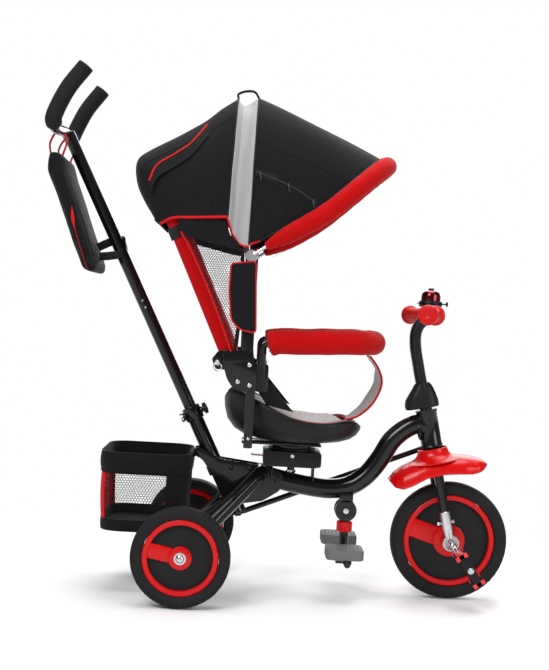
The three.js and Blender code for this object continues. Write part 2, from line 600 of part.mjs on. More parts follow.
// the pull pin swings along this slot as the backrest moves
const PIN_S = 51;
const PIN_N = -24;
const pinSwing = Math.hypot(PIN_S, PIN_N);
const slotPoint = (radius, degrees) => [
  RECLINE_X + radius * Math.cos(THREE.MathUtils.degToRad(degrees)),
  RECLINE_Z + radius * Math.sin(THREE.MathUtils.degToRad(degrees)),
];
const pinSlot = [
  ...[113, 120, 127, 134, 141, 148].map((degrees) => slotPoint(pinSwing - 7, degrees)),
  ...[148, 141, 134, 127, 120, 113].map((degrees) => slotPoint(pinSwing + 7.5, degrees)),
];
for (const [name, side] of sides) {
  const between = (a, b) => (side > 0 ? [a, b] : [-b, -a]);
  const pin = (x, z, radius, from, to) => rod(v(x, side * from, z), v(x, side * to, z), radius, 12);
  const pivotRoom = pin(PIVOT_X, PIVOT_Z, 5, SIDE_IN - 5, SIDE_OUT + 5);
  piece(`side_frame_${name}`, 'paint', cut(slab(sideOutline, ...between(SIDE_IN, SIDE_OUT)), pivotRoom));
  const socket = slab([[125, 427], [154, 427], [154, 484], [125, 484]], ...between(SIDE_OUT - 18, SIDE_OUT + 8));
  const socketRoom = rod(v(SOCKET_X, side * (SIDE_OUT - 5), 433), v(SOCKET_X, side * (SIDE_OUT - 5), 520), 9 + RUNNING);
  const barRoomSide = slab(sideOutline.map(([x, z]) => [x + (x > 110 ? GAP : -GAP), z]), ...between(SIDE_IN - GAP, SIDE_OUT + GAP));
  const boltHeads = [[115, 481], [117, 440], [93, 446]].map(([x, z]) => pin(x, z, 5, SIDE_OUT + 3, SIDE_OUT + 7));
  piece(`hinge_plate_${name}`, 'plastic', join(
    cut(
      join(slab(hingeOutline, ...between(SIDE_OUT + GAP, SIDE_OUT + 4.6)), socket),
      socketRoom, barRoomSide, slab(pinSlot, ...between(SIDE_OUT - 2, SIDE_OUT + 6)),
    ),
    pin(RECLINE_X, RECLINE_Z, 4, BACK_RAIL_Y - 4, SIDE_OUT + 3), ...boltHeads,
  ));
}

// ---- backrest: rails lean back from the recline pivot --------------------------------------------
const back = new THREE.Group();           // z runs up the rails, x points forward
back.position.set(RECLINE_X, 0, RECLINE_Z);
back.rotation.y = -RECLINE_TILT;
trike.add(back);
const BRACKET_OUT = SIDE_IN - 0.8;
const BRACKET_IN = BRACKET_OUT - 6;
const backParts = [
  rod(v(0, -BACK_RAIL_Y, BACK_LENGTH - 12), v(0, BACK_RAIL_Y, BACK_LENGTH - 12), BACK_RAIL_RADIUS, 14),
  rod(v(0, -BACK_RAIL_Y, 62), v(0, BACK_RAIL_Y, 62), BACK_RAIL_RADIUS - 2, 14),
];
for (const [, side] of sides) {
  const between = side > 0 ? [BRACKET_IN, BRACKET_OUT] : [-BRACKET_OUT, -BRACKET_IN];
  backParts.push(rod(v(0, side * BACK_RAIL_Y, 30), v(0, side * BACK_RAIL_Y, BACK_LENGTH), BACK_RAIL_RADIUS, 14));
  const bracket = slab([[-12, -8], [-6, -14], [6, -14], [12, -8], [12, 72], [-14, 72], [-32, 62], [-32, 40], [-12, 30]], ...between);
  backParts.push(bracket);
}
const backRoom = sides.map(([, side]) => [
  rod(v(0, side * (BACK_RAIL_Y - 30), 0), v(0, side * 160, 0), 4 + RUNNING, 16),
  rod(v(PIN_N, side * 100, PIN_S), v(PIN_N, side * 170, PIN_S), 3 + RUNNING, 16),
]).flat();
piece('back_frame', 'paint', cut(join(...backParts), ...backRoom), back);
const PAD_HALF = BACK_RAIL_Y - BACK_RAIL_RADIUS - 1;
const backPad = cut(
  block(-12, 22, -PAD_HALF, PAD_HALF, 34, BACK_LENGTH + 4),
  rod(v(0, -200, BACK_LENGTH - 12), v(0, 200, BACK_LENGTH - 12), BACK_RAIL_RADIUS + 1),
  rod(v(0, -200, 62), v(0, 200, 62), BACK_RAIL_RADIUS - 1),
);
piece('back_pad', 'redCloth', backPad, back);

for (const [name, side] of sides) {
  const ringTorus = new THREE.TorusGeometry(8, 1.4, 6, 16).rotateX(Math.PI / 2);
  ringTorus.translate(PIN_N - 2, side * (BRACKET_OUT + 13), PIN_S - 8);
  piece(`pull_pin_${name}`, 'chrome', join(
    rod(v(PIN_N, side * (BRACKET_IN - 4), PIN_S), v(PIN_N, side * (BRACKET_OUT + 12), PIN_S), 3, 12),
    rod(v(PIN_N, side * (BRACKET_OUT + 1), PIN_S), v(PIN_N, side * (BRACKET_OUT + 14), PIN_S), 5.5, 16),
    ringTorus,
  ), back);
}

// ---- safety bar ------------------------------------------------------------------------------------
const BAR_Y = SIDE_OUT - 5;
const BAR_Z = 537;
const BAR_FRONT = 372;
const barPoints = (side) => [
  v(BAR_FRONT, 0, BAR_Z), v(BAR_FRONT - 5, side * 70, BAR_Z), v(BAR_FRONT - 38, side * (BAR_Y - 22), BAR_Z),
  v(BAR_FRONT - 90, side * (BAR_Y - 4), BAR_Z - 2), v(230, side * BAR_Y, BAR_Z - 5), v(172, side * BAR_Y, BAR_Z - 7),
];
const barLoop = [...barPoints(-1).reverse(), ...barPoints(1).slice(1)];
const safetyLine = smoothPath([v(150, -BAR_Y, BAR_Z - 10), ...barLoop, v(150, BAR_Y, BAR_Z - 10)]);
const safetyTube = (radius) => sweep(safetyLine, radius, 22, 8);
const barParts = [safetyTube(8)];
for (const [, side] of sides) {
  const post = bentPath([v(SOCKET_X, side * BAR_Y, 440), v(SOCKET_X, side * BAR_Y, BAR_Z - 9), v(160, side * BAR_Y, BAR_Z - 9)], 12);
  barParts.push(sweep(post, 9, 6, 10));
}
piece('safety_bar', 'paint', join(...barParts));
piece('safety_bar_pad', 'redCloth', cut(sweep(smoothPath(barLoop), BAR_FOAM_RADIUS, 18, 10), safetyTube(9.5)));

const strapOutline = [
  [362, 508], [370, 509], [390, 481], [398, 452], [380, 412], [352, 386], [334, 369], [330, 373], [348, 390],
  [375, 416], [392, 452], [384, 478],
];
piece('crotch_strap', 'greyCloth', slab(strapOutline, -42, 42));

// ---- canopy: arched roof and flat sides ---------------------------------------------------------------
function arch(half, top, x0, x1) {
  const corner = 70;
  const outline = new THREE.Shape();
  outline.moveTo(-half, 400);
  outline.lineTo(half, 400);
  outline.lineTo(half, top - corner - 40);
  outline.bezierCurveTo(half, top - 20, half - 40, top - 6, 0, top);
  outline.bezierCurveTo(-half + 40, top - 6, -half, top - 20, -half, top - corner - 40);
  outline.lineTo(-half, 400);
  const body = new THREE.ExtrudeGeometry(outline, { depth: x1 - x0, bevelEnabled: false, curveSegments: 7 });
  body.rotateX(Math.PI / 2).rotateZ(Math.PI / 2);
  return body.translate(x0, 0, 0);
}

function hood(outer, inner, topOut) {
  const outside = common(slab(outer, -200, 200), arch(CANOPY_HALF, topOut, -400, 700));
  const inside = common(slab(inner, -200, 200), arch(CANOPY_HALF - CANOPY_WALL, topOut - CANOPY_WALL, -400, 700));
  return cut(outside, inside);
}

const BOW_X = 106;
const REAR_BOW_X = 60;
const rearOut = [
  [BOW_X - GAP, CANOPY_TOP], [REAR_BOW_X, 1013], [-30, 968], [-121, 916], [-140, 901], [-145, 880], [-135, 828],
  [-93, 768], [-60, 757], [22, 616], [70, 616], [66, 724], [84, 722], [BOW_X - GAP, 726],
];
const rearIn = [
  [BOW_X + 20, 1026], [BOW_X - 6, 1026], [REAR_BOW_X - 2, 1009], [-30, 964], [-119, 912], [-136, 898], [-141, 880],
  [-131, 829], [-90, 771], [-110, 742], [40, 480], [100, 500], [80, 700], [BOW_X + 20, 700],
];
piece('canopy_rear', 'cloth', hood(rearOut, rearIn, CANOPY_TOP));

const brimPoint = (reach, y) => v(PIVOT_X + reach * Math.cos(BRIM_TILT), y, PIVOT_Z + reach * Math.sin(BRIM_TILT));
const brimSide = SIDE_OUT + 4.5;
const brimPoints = (side) => [
  brimPoint(BRIM_REACH, 0), brimPoint(BRIM_REACH - 5, side * 62), brimPoint(BRIM_REACH - 30, side * (CANOPY_HALF - 42)),
  brimPoint(BRIM_REACH - 84, side * (CANOPY_HALF - 10)), brimPoint(BRIM_REACH - 170, side * CANOPY_HALF),
  brimPoint(120, side * CANOPY_HALF), brimPoint(62, side * CANOPY_HALF),
];
const brimLoop = [...brimPoints(-1).reverse(), ...brimPoints(1).slice(1)];
const bowLoop = [brimPoint(8, -brimSide), ...brimLoop, brimPoint(8, brimSide)];
const bowLine = smoothPath(bowLoop);
const bow = (radius) => sweep(bowLine, radius, 26, 6);
const bowParts = [bow(3.5)];
for (const [, side] of sides) {
  bowParts.push(rod(v(PIVOT_X, side * (SIDE_OUT + 0.6), PIVOT_Z), v(PIVOT_X, side * (SIDE_OUT + 5), PIVOT_Z), 13, 20));
  bowParts.push(rod(v(PIVOT_X, side * (SIDE_IN - 3), PIVOT_Z), v(PIVOT_X, side * (SIDE_OUT + 3), PIVOT_Z), 4, 16));
}
piece('brim_bow', 'chrome', join(...bowParts));
piece('brim_pad', 'redCloth', cut(sweep(smoothPath(brimLoop), BRIM_RADIUS, 22, 10), bow(5)));

// the front hood stops short of the padded brim
const along = (reach, off) => [
  PIVOT_X + reach * Math.cos(BRIM_TILT) - off * Math.sin(BRIM_TILT),
  PIVOT_Z + reach * Math.sin(BRIM_TILT) + off * Math.cos(BRIM_TILT),
];
const brimOff = BRIM_RADIUS + 2;
const frontOut = [
  [BOW_X + GAP, 728], [BOW_X + GAP, CANOPY_TOP], along(BRIM_REACH - 18, 62), along(BRIM_REACH + 2, 40),
  along(BRIM_REACH + 6, brimOff), along(60, brimOff),
];
const frontIn = [
  [80, 690], [80, CANOPY_TOP - 1], [BOW_X, CANOPY_TOP - 4], along(BRIM_REACH - 20, 58), along(BRIM_REACH - 2, 38),
  along(BRIM_REACH + 2, 0), along(0, 0),
];
piece('canopy_front', 'cloth', hood(frontOut, frontIn, CANOPY_TOP));

const bowArch = (side) => [
  v(BOW_X - 2, side * (SIDE_IN + 2.5), PIVOT_Z + 17), v(BOW_X - 2, side * (CANOPY_HALF - 9), 860),
  v(BOW_X - 2, side * (CANOPY_HALF - 13), 945), v(BOW_X - 2, side * 105, 1000), v(BOW_X - 2, side * 55, 1015),
];
const bowPath = smoothPath([...bowArch(-1), v(BOW_X - 2, 0, CANOPY_TOP - 11), ...bowArch(1).reverse()]);
piece('canopy_bow', 'chrome', sweep(bowPath, 3.5, 20, 6));

// ---- basket and footrest ---------------------------------------------------------------------------------
const basketOut = [[-181, BASKET_TOP - 8], [-178, 140], [-150, BASKET_LOW], [-20, BASKET_LOW], [2, 136], [7, BASKET_TOP]];
const basketIn = [[-178, BASKET_TOP + 20], [-175, 142], [-148, BASKET_LOW + 3], [-21, BASKET_LOW + 3], [-1, 138], [4, BASKET_TOP + 20]];
piece('basket', 'cloth', cut(slab(basketOut, -BASKET_HALF, BASKET_HALF), slab(basketIn, -BASKET_HALF + 3, BASKET_HALF - 3)));

const footBolt = rod(v(FOOT_X, -26, FOOT_Z), v(FOOT_X, 26, FOOT_Z), 4, 16);
const earParts = [footBolt, block(FOOT_X - 14, FOOT_X + 14, -20, 20, FOOT_Z + 25, FOOT_Z + 40)];
for (const [, side] of sides) {
  earParts.push(rod(v(FOOT_X, side * 12, FOOT_Z), v(FOOT_X, side * 20, FOOT_Z), 23, 28));
  earParts.push(block(FOOT_X - 14, FOOT_X + 14, side > 0 ? 12 : -20, side > 0 ? 20 : -12, FOOT_Z, FOOT_Z + 30));
}
piece('footrest_bracket', 'paint', cut(join(...earParts), mainTube(MAIN_TUBE_RADIUS + GAP)));

const COLLAR_LOW = 132;
const COLLAR_HIGH = 154;
const POST_RADIUS = 10;
const footPost = cut(
  join(
    rod(v(FOOT_X, -11, FOOT_Z), v(FOOT_X, 11, FOOT_Z), 19, 24),
    rod(v(FOOT_X, 0, 70), v(FOOT_X, 0, FOOT_Z - 4), POST_RADIUS),
    rod(v(FOOT_X, -132, 84), v(FOOT_X, 132, 84), 7, 14),
    block(FOOT_X - 16, FOOT_X + 16, -18, 18, 65, 75),
  ),
  rod(v(FOOT_X, -30, FOOT_Z), v(FOOT_X, 30, FOOT_Z), 4 + RUNNING, 16),
);
piece('footrest_post', 'paint', footPost);
piece('footrest_collar', 'red', cut(
  rod(v(FOOT_X, 0, COLLAR_LOW), v(FOOT_X, 0, COLLAR_HIGH), 17, 24),
  rod(v(FOOT_X, 0, 100), v(FOOT_X, 0, 200), POST_RADIUS + GAP),
));
for (const [name, side] of sides) {
  const [y0, y1] = side > 0 ? [52, 130] : [-130, -52];
  piece(`foot_plate_${name}`, 'plastic', block(FOOT_X - 44, FOOT_X + 34, y0, y1, 84 + 7 + GAP, 113));
}

export default trike;
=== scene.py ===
import json
import math
import bmesh
import bpy
import numpy as np
from mathutils import Matrix, Vector


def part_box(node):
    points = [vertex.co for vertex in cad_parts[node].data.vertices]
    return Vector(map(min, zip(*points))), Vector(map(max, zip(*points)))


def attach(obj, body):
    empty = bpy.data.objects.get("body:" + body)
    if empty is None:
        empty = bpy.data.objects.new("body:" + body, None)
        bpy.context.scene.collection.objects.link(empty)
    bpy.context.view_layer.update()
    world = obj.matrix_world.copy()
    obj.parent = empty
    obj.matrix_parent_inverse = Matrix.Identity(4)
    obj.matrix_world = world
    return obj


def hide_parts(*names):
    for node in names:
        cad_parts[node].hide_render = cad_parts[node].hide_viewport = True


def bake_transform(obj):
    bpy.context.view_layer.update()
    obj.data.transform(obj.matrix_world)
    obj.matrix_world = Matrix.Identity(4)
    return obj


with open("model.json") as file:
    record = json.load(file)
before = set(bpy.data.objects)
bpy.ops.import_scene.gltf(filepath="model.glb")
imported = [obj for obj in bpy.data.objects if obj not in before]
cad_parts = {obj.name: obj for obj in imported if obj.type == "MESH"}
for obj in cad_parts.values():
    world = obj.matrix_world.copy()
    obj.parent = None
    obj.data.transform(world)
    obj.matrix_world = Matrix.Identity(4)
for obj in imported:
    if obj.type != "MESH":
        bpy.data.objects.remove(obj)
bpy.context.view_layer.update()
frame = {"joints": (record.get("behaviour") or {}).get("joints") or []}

# ---- Camera, floor and light ---------------------------------------------------------------------
# A plain pale floor under soft studio light, seen from the right at a child's eye height.
# The camera leans a little, as a hand-held product shot does.
camera_data = bpy.data.cameras.new("camera")
camera_data.lens = 69.65
camera = bpy.data.objects.new("camera", camera_data)
yaw, pitch, roll = 0.0190819, 0.0169349, 0.0551159
forward = Vector((math.sin(yaw) * math.cos(pitch), math.cos(yaw) * math.cos(pitch), -math.sin(pitch)))
level = Vector((math.cos(yaw), -math.sin(yaw), 0))
upright = level.cross(forward)
right = level * math.cos(roll) + upright * math.sin(roll)
above = upright * math.cos(roll) - level * math.sin(roll)
turn = Matrix((right, above, -forward)).transposed().to_4x4()
camera.matrix_world = Matrix.Translation((-0.0699, -2.75804, 0.58838)) @ turn
bpy.context.scene.collection.objects.link(camera)
bpy.context.scene.camera = camera

floor_mesh = bpy.data.meshes.new("floor")
floor_mesh.from_pydata([(-30, -30, 0), (30, -30, 0), (30, 30, 0), (-30, 30, 0)], [], [(0, 1, 2, 3)])
floor_object = bpy.data.objects.new("floor", floor_mesh)
bpy.context.scene.collection.objects.link(floor_object)
floor_paper = bpy.data.materials.new("floor_paper")
floor_paper.use_nodes = True
paper = floor_paper.node_tree.nodes
paper["Principled BSDF"].inputs["Base Color"].default_value = (0.92, 0.92, 0.92, 1)
paper["Principled BSDF"].inputs["Roughness"].default_value = 0.8
paper["Principled BSDF"].inputs["Specular IOR Level"].default_value = 0.1
where, reach = paper.new("ShaderNodeTexCoord"), paper.new("ShaderNodeVectorMath")
reach.operation = "LENGTH"
far, glow, fade = paper.new("ShaderNodeMapRange"), paper.new("ShaderNodeEmission"), paper.new("ShaderNodeMixShader")
far.inputs["From Min"].default_value = 0.3
far.inputs["From Max"].default_value = 1.1
for start, out, end, into in [
    (where, "Object", reach, 0), (reach, "Value", far, "Value"), (far, "Result", fade, 0),
    (paper["Principled BSDF"], 0, fade, 1), (glow, 0, fade, 2), (fade, 0, paper["Material Output"], 0),
]:
    floor_paper.node_tree.links.new(start.outputs[out], end.inputs[into])
floor_mesh.materials.append(floor_paper)

for name, place, size, power in [
    ("key", (-1.4, -2.4, 2.6), 1.6, 78),
    ("fill", (2.4, -2.0, 1.4), 1.4, 30),
    ("top", (0.1, 0.3, 3.0), 2.2, 80),
    ("back", (0.6, 2.6, 1.8), 2.2, 50),
]:
    lamp_data = bpy.data.lights.new(name, "AREA")
    lamp_data.size = size
    lamp_data.energy = power
    lamp = bpy.data.objects.new(name, lamp_data)
    lamp.matrix_world = (
        Matrix.Translation(place) @ (Vector((0, 0, 0.5)) - Vector(place)).to_track_quat("-Z",
            "Y").to_matrix().to_4x4()
    )
    bpy.context.scene.collection.objects.link(lamp)
studio = bpy.data.worlds.new("studio")
studio.use_nodes = True
sky = studio.node_tree.nodes["Background"]
sky.inputs["Color"].default_value = (1, 1, 1, 1)
seen = studio.node_tree.nodes.new("ShaderNodeLightPath")
level_of = studio.node_tree.nodes.new("ShaderNodeMapRange")
level_of.inputs["To Min"].default_value = 0.17
level_of.inputs["To Max"].default_value = 1.0
studio.node_tree.links.new(seen.outputs["Is Camera Ray"], level_of.inputs["Value"])
studio.node_tree.links.new(level_of.outputs["Result"], sky.inputs["Strength"])
bpy.context.scene.world = studio
bpy.context.scene.view_settings.view_transform = "Standard"

# ---- Wheels --------------------------------------------------------------------------------------
# Black foamed tyres with a chevron tread on moulded rims: a satin black disc with a red ring,
# a red hub and one red spoke bar. Lengths are millimetres ahead of the rear axle, left and up.
MM = 0.001
AXLE_X = (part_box("rear_axle")[0].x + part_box("rear_axle")[1].x) / 2
SIDES = ((-1, "right"), (1, "left"))


def together(*shapes):
    """Several shapes as one."""
    points, faces = [], []
    for shape_points, shape_faces in shapes:
        start = len(points)
        points += [tuple(p) for p in shape_points]
        faces += [[start + i for i in face] for face in shape_faces]
    return points, faces


def mesh_of(name, points, faces, weld, ahead=0.0):
    """A mesh from points in millimetres, joined where they meet, its faces turned outwards."""
    mesh = bpy.data.meshes.new(name)
    mesh.from_pydata([(x * MM + ahead, y * MM, z * MM) for x, y, z in points], [], faces)
    work = bmesh.new()
    work.from_mesh(mesh)
    bmesh.ops.remove_doubles(work, verts=work.verts, dist=weld)
    bmesh.ops.recalc_face_normals(work, faces=work.faces)
    work.to_mesh(mesh)
    work.free()
    return mesh


def stand(name, mesh):
    """Puts a mesh in the scene as an object."""
    made = bpy.data.objects.new(name, mesh)
    bpy.context.scene.collection.objects.link(made)
    return made


def piece(name, shape, body, material, slot, replaces=(), bevel=0.0, wall=0.0, crisp=35):
    """One piece from points and faces; wall thickens a surface, bevel rounds its edges."""
    made = stand(name, mesh_of(name, *shape, 1e-6, AXLE_X))
    if wall:
        shell = made.modifiers.new("wall", "SOLIDIFY")
        shell.thickness = wall * MM
        shell.offset = 0
    if bevel:
        edge = made.modifiers.new("edge", "BEVEL")
        edge.width = bevel * MM
        edge.segments = 3
        edge.limit_method = "ANGLE"
        edge.angle_limit = math.radians(38)
        edge.harden_normals = False
    return settle(made, body, material, replaces, crisp)


def settle(made, body, material, replaces=(), crisp=35):
    """Applies the modifiers, then gives the piece its material and body and hides the CAD nodes it replaces."""
    bpy.context.view_layer.update()
    solid = bpy.data.meshes.new_from_object(made.evaluated_get(bpy.context.evaluated_depsgraph_get()))
    made.modifiers.clear()
    made.data = solid
    solid.materials.clear()
    solid.materials.append(material)
    solid.polygons.foreach_set("material_index", [0] * len(solid.polygons))
    solid.polygons.foreach_set("use_smooth", [True] * len(solid.polygons))
    solid.set_sharp_from_angle(angle=math.radians(crisp))
    if body:
        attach(made, body)
    if replaces:
        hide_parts(*([replaces] if isinstance(replaces, str) else replaces))
    return made


def lathe(profile, centre, axis=(0, 1, 0), sides=96, closed=True):
    """Turns a profile of (radius, distance along the axis) about an axis through centre."""
    axis = Vector(axis).normalized()
    out = axis.orthogonal().normalized()
    other = axis.cross(out)
    points, faces = [], []
    for step in range(sides):
        angle = 2 * math.pi * step / sides
        ray = out * math.cos(angle) + other * math.sin(angle)
        points += [tuple(Vector(centre) + ray * radius + axis * along) for radius, along in profile]
    count = len(profile)
    for step in range(sides):
        a, b = step * count, (step + 1) % sides * count
        for i in range(count if closed else count - 1):
            j = (i + 1) % count
            faces.append([a + i, a + j, b + j, b + i])
    return points, faces


def material(name, colour, roughness, metallic=0.0, coat=0.0, sheen=0.0, shine=0.25):
    made = bpy.data.materials.new(name)
    made.use_nodes = True
    skin = made.node_tree.nodes["Principled BSDF"]
    skin.inputs["Base Color"].default_value = (*colour, 1)
    skin.inputs["Roughness"].default_value = roughness
    skin.inputs["Metallic"].default_value = metallic
    skin.inputs["Specular IOR Level"].default_value = 0.5 if metallic else shine
    skin.inputs["Coat Weight"].default_value = coat
    skin.inputs["Coat Roughness"].default_value = 0.08
    skin.inputs["Sheen Weight"].default_value = sheen
    skin.inputs["Sheen Roughness"].default_value = 0.5
    return made


def node(made, kind, links=(), **values):
    """Adds a node; values set its properties or sockets, links join (its socket, from node, its output)."""
    new = made.node_tree.nodes.new(kind)
    for key, value in values.items():
        if hasattr(new, key):
            setattr(new, key, value)
        else:
            new.inputs[key.replace("_", " ")].default_value = value
    for socket, other, output in links:
        made.node_tree.links.new(other.outputs[output], new.inputs[socket])
    return new


def mottle(made, colour, other, scale, rough=None):
    """Slow variation between two colours, and of the roughness between two values."""
    place = node(made, "ShaderNodeTexCoord")
    cloud = node(made, "ShaderNodeTexNoise", [("Vector", place, "Object")], Scale=scale, Detail=5.0)
    mix = node(made, "ShaderNodeMix", [("Factor", cloud, "Fac")], data_type="RGBA")
    mix.inputs["A"].default_value = (*colour, 1)
    mix.inputs["B"].default_value = (*other, 1)
    skin = made.node_tree.nodes["Principled BSDF"]
    made.node_tree.links.new(mix.outputs["Result"], skin.inputs["Base Color"])
    if rough:
        span = node(made, "ShaderNodeMapRange", [("Value", cloud, "Fac")], To_Min=rough[0], To_Max=rough[1])
        made.node_tree.links.new(span.outputs["Result"], skin.inputs["Roughness"])
    return made


def grain(made, scale, depth, kind="ShaderNodeTexNoise", output="Fac"):
    """Fine relief from one texture, depth in millimetres."""
    place = node(made, "ShaderNodeTexCoord")
    texture = node(made, kind, [("Vector", place, "Object")], Scale=scale)
    bump = node(made, "ShaderNodeBump", [("Height", texture, output)], Strength=0.6, Distance=depth * MM)
    made.node_tree.links.new(bump.outputs["Normal"], made.node_tree.nodes["Principled BSDF"].inputs["Normal"])
    return made


tyre_foam = grain(
    mottle(material("tyre_foam", (0.012, 0.012, 0.013), 0.75), (0.006, 0.006, 0.007), (0.014, 0.014, 0.015), 38,
           (0.6, 0.85)),
    900, 0.5)
TYRE = (tyre_foam, "tyre_foam")
red_gloss = grain(
    mottle(material("red_gloss", (0.62, 0.006, 0.008), 0.28, coat=0.12), (0.54, 0.0008, 0.0016),
           (0.64, 0.0014, 0.0024), 12, (0.24, 0.34)),
    500, 0.05)
RED = (red_gloss, "red_plastic")
satin_disc = grain(
    mottle(material("satin_disc", (0.006, 0.006, 0.007), 0.5), (0.005, 0.005, 0.006), (0.010, 0.010, 0.011), 20,
           (0.45, 0.6)),
    1400, 0.12)


def node_group(name, sockets):
    """An empty Geometry Nodes group with its inputs and one Geometry output."""
    tree = bpy.data.node_groups.new(name, "GeometryNodeTree")
    for label, kind in sockets.items():
        tree.interface.new_socket(label, in_out="INPUT", socket_type="NodeSocket" + kind)
    tree.interface.new_socket("Geometry", in_out="OUTPUT", socket_type="NodeSocketGeometry")
    return tree


def grown(made, tree, values):
    """Puts a group on an object, its inputs set by name."""
    change = made.modifiers.new(tree.name, "NODES")
    change.node_group = tree
    for socket in tree.interface.items_tree:
        if socket.in_out == "INPUT" and socket.name in values:
            change[socket.identifier] = values[socket.name]


def row_tree():
    """Geometry Nodes: copies of Item along a line, Pitch apart, Z along the line and Y towards Side."""
    tree = node_group("row_of_pieces", {
        "Geometry": "Geometry", "Item": "Object", "Pitch": "Float", "Side": "Vector", "Material": "Material"})
    add = tree.nodes.new
    source, result = add("NodeGroupInput"), add("NodeGroupOutput")
    line, spaced = add("GeometryNodeMeshToCurve"), add("GeometryNodeResampleCurve")
    spaced.mode = "LENGTH"
    tangent, item = add("GeometryNodeInputTangent"), add("GeometryNodeObjectInfo")
    first, second = add("FunctionNodeAlignRotationToVector"), add("FunctionNodeAlignRotationToVector")
    first.axis, second.axis, second.pivot_axis = "Z", "Y", "Z"
    copies, real = add("GeometryNodeInstanceOnPoints"), add("GeometryNodeRealizeInstances")
    painted = add("GeometryNodeSetMaterial")
    for a, out, b, into in [
        (source, "Geometry", line, "Mesh"), (line, "Curve", spaced, "Curve"), (source, "Pitch", spaced, "Length"),
        (tangent, "Tangent", first, "Vector"), (first, "Rotation", second, "Rotation"),
        (source, "Side", second, "Vector"),
        (source, "Item", item, "Object"), (item, "Geometry", copies, "Instance"),
        (spaced, "Curve", copies, "Points"),
        (second, "Rotation", copies, "Rotation"), (copies, "Instances", real, "Geometry"),
        (real, "Geometry", painted, "Geometry"), (source, "Material", painted, "Material"),
        (painted, "Geometry", result, "Geometry"),
    ]:
        tree.links.new(a.outputs[out], b.inputs[into])
    return tree


ROWS = row_tree()


def row(name, line, item, pitch, side, body, made_of, slot, closed=False, replaces=()):
    """A row of item (points and faces in mm about its own middle) along a line of points."""
    carrier = stand(name + "_item", mesh_of(name + "_item", *item, 1e-7))
    track = bpy.data.meshes.new(name)
    ends = [(i, i + 1) for i in range(len(line) - 1)] + ([(len(line) - 1, 0)] if closed else [])
    track.from_pydata([(x * MM + AXLE_X, y * MM, z * MM) for x, y, z in line], ends, [])
    made = stand(name, track)
    grown(made, ROWS, {"Item": carrier, "Pitch": pitch * MM, "Side": side, "Material": made_of})
    settle(made, body, made_of, replaces)
    bpy.data.objects.remove(carrier)
    return made


def block(sx, sy, sz, taper=1.0):
    """A block about its own middle, narrower towards +Y by taper."""
    points = [(x * sx / 2 * (taper if y > 0 else 1), y * sy / 2, z * sz / 2 * (taper if y > 0 else 1))
              for x in (-1, 1) for y in (-1, 1) for z in (-1, 1)]
    return points, [[0, 1, 3, 2], [4, 6, 7, 5], [0, 4, 5, 1], [2, 3, 7, 6], [0, 2, 6, 4], [1, 5, 7, 3]]


def circle(radius, centre, count=72):
    """A circle about the Y axis."""
    x, y, z = centre
    angles = [2 * math.pi * i / count for i in range(count)]
    return [(x + radius * math.cos(a), y, z + radius * math.sin(a)) for a in angles]


TYRE_HALF, TYRE_LUGS, TYRE_RIBS = 21, 46, 60


def wheel(name, body, centre, radius, rim, hub, spoke_width, spoke_angle):
    """A foam tyre with its tread, and a satin disc with red ring, hub and spoke bar."""
    half = TYRE_HALF
    tyre_profile = [
        (rim + 0.5, -0.7 * half), (rim + 3, -0.86 * half), (radius - 15, -half), (radius - 8, -0.97 * half),
        (radius - 3.2, -0.8 * half), (radius - 1.4, -0.5 * half), (radius - 1.0, 0), (radius - 1.4, 0.5 * half),
        (radius - 3.2, 0.8 * half), (radius - 8, 0.97 * half), (radius - 15, half), (rim + 3, 0.86 * half),
        (rim + 0.5, 0.7 * half),
    ]
    piece(name + "_foam", lathe(tyre_profile, centre), body, *TYRE, TYRE_NODES[name])
    x, y, z = centre
    lug = block(3.0, 3.0, 8.0, 0.7)
    for side in (-1, 1):
        for lean, reach, inset in ((0.75, 5.0, 0.82), (-0.75, 8.6, 0.94)):
            slanted = [(a + lean * c * 0.5, b, c) for a, b, c in lug[0]]
            row(f"{name}_tread_{side + 1}_{int(reach)}", circle(radius - reach, (x, y + side * inset * half, z)),
                (slanted, lug[1]), 2 * math.pi * radius / TYRE_LUGS, (0, side, 0), body, *TYRE, closed=True)
    ribs = block(9, 1.2, 5.2, 0.8)
    row(name + "_ribs", circle(radius - 1.8, (x, y, z)), ([(b, a, c) for a, b, c in ribs[0]], ribs[1]),
        2 * math.pi * radius / TYRE_RIBS, (0, 1, 0), body, *TYRE, closed=True)
    disc = [(8, -12), (hub + 1, -9), (rim - 12, -5), (rim - 9, -8), (rim - 9, 8), (rim - 12, 5), (hub + 1, 9),
            (8, 12)]
    piece(name + "_disc", lathe(disc, centre), body, satin_disc, "black_plastic", RIM_NODES[name])
    band = [(rim - 11, -13.2), (rim - 10, -14.6), (rim - 2, -15.2), (rim, -14), (rim, 14), (rim - 2, 15.2),
            (rim - 10, 14.6), (rim - 11, 13.2)]
    boss = [(7, -17), (hub * 0.42, -18.6), (hub * 0.46, -17.4), (hub - 3, -17.6), (hub - 0.6, -16.6), (hub, -14.8),
            (hub, 14.8),
            (hub - 0.6, 16.6), (hub - 3, 17.6), (hub * 0.46, 17.4), (hub * 0.42, 18.6), (7, 17)]
    piece(name + "_red_ring", lathe(band, centre), body, *RED)
    piece(name + "_red_hub", lathe(boss, centre, sides=64), body, *RED)
    length = rim - 8 - hub * 0.8
    bar = block(length, 25, spoke_width)
    middle = hub * 0.8 + length / 2
    bar_points = [
        (x + (a + middle) * math.cos(spoke_angle) - c * math.sin(spoke_angle), y + b,
         z + (a + middle) * math.sin(spoke_angle) + c * math.cos(spoke_angle)) for a, b, c in bar[0]]
    piece(name + "_spoke", (bar_points, bar[1]), body, *RED, bevel=2.2)


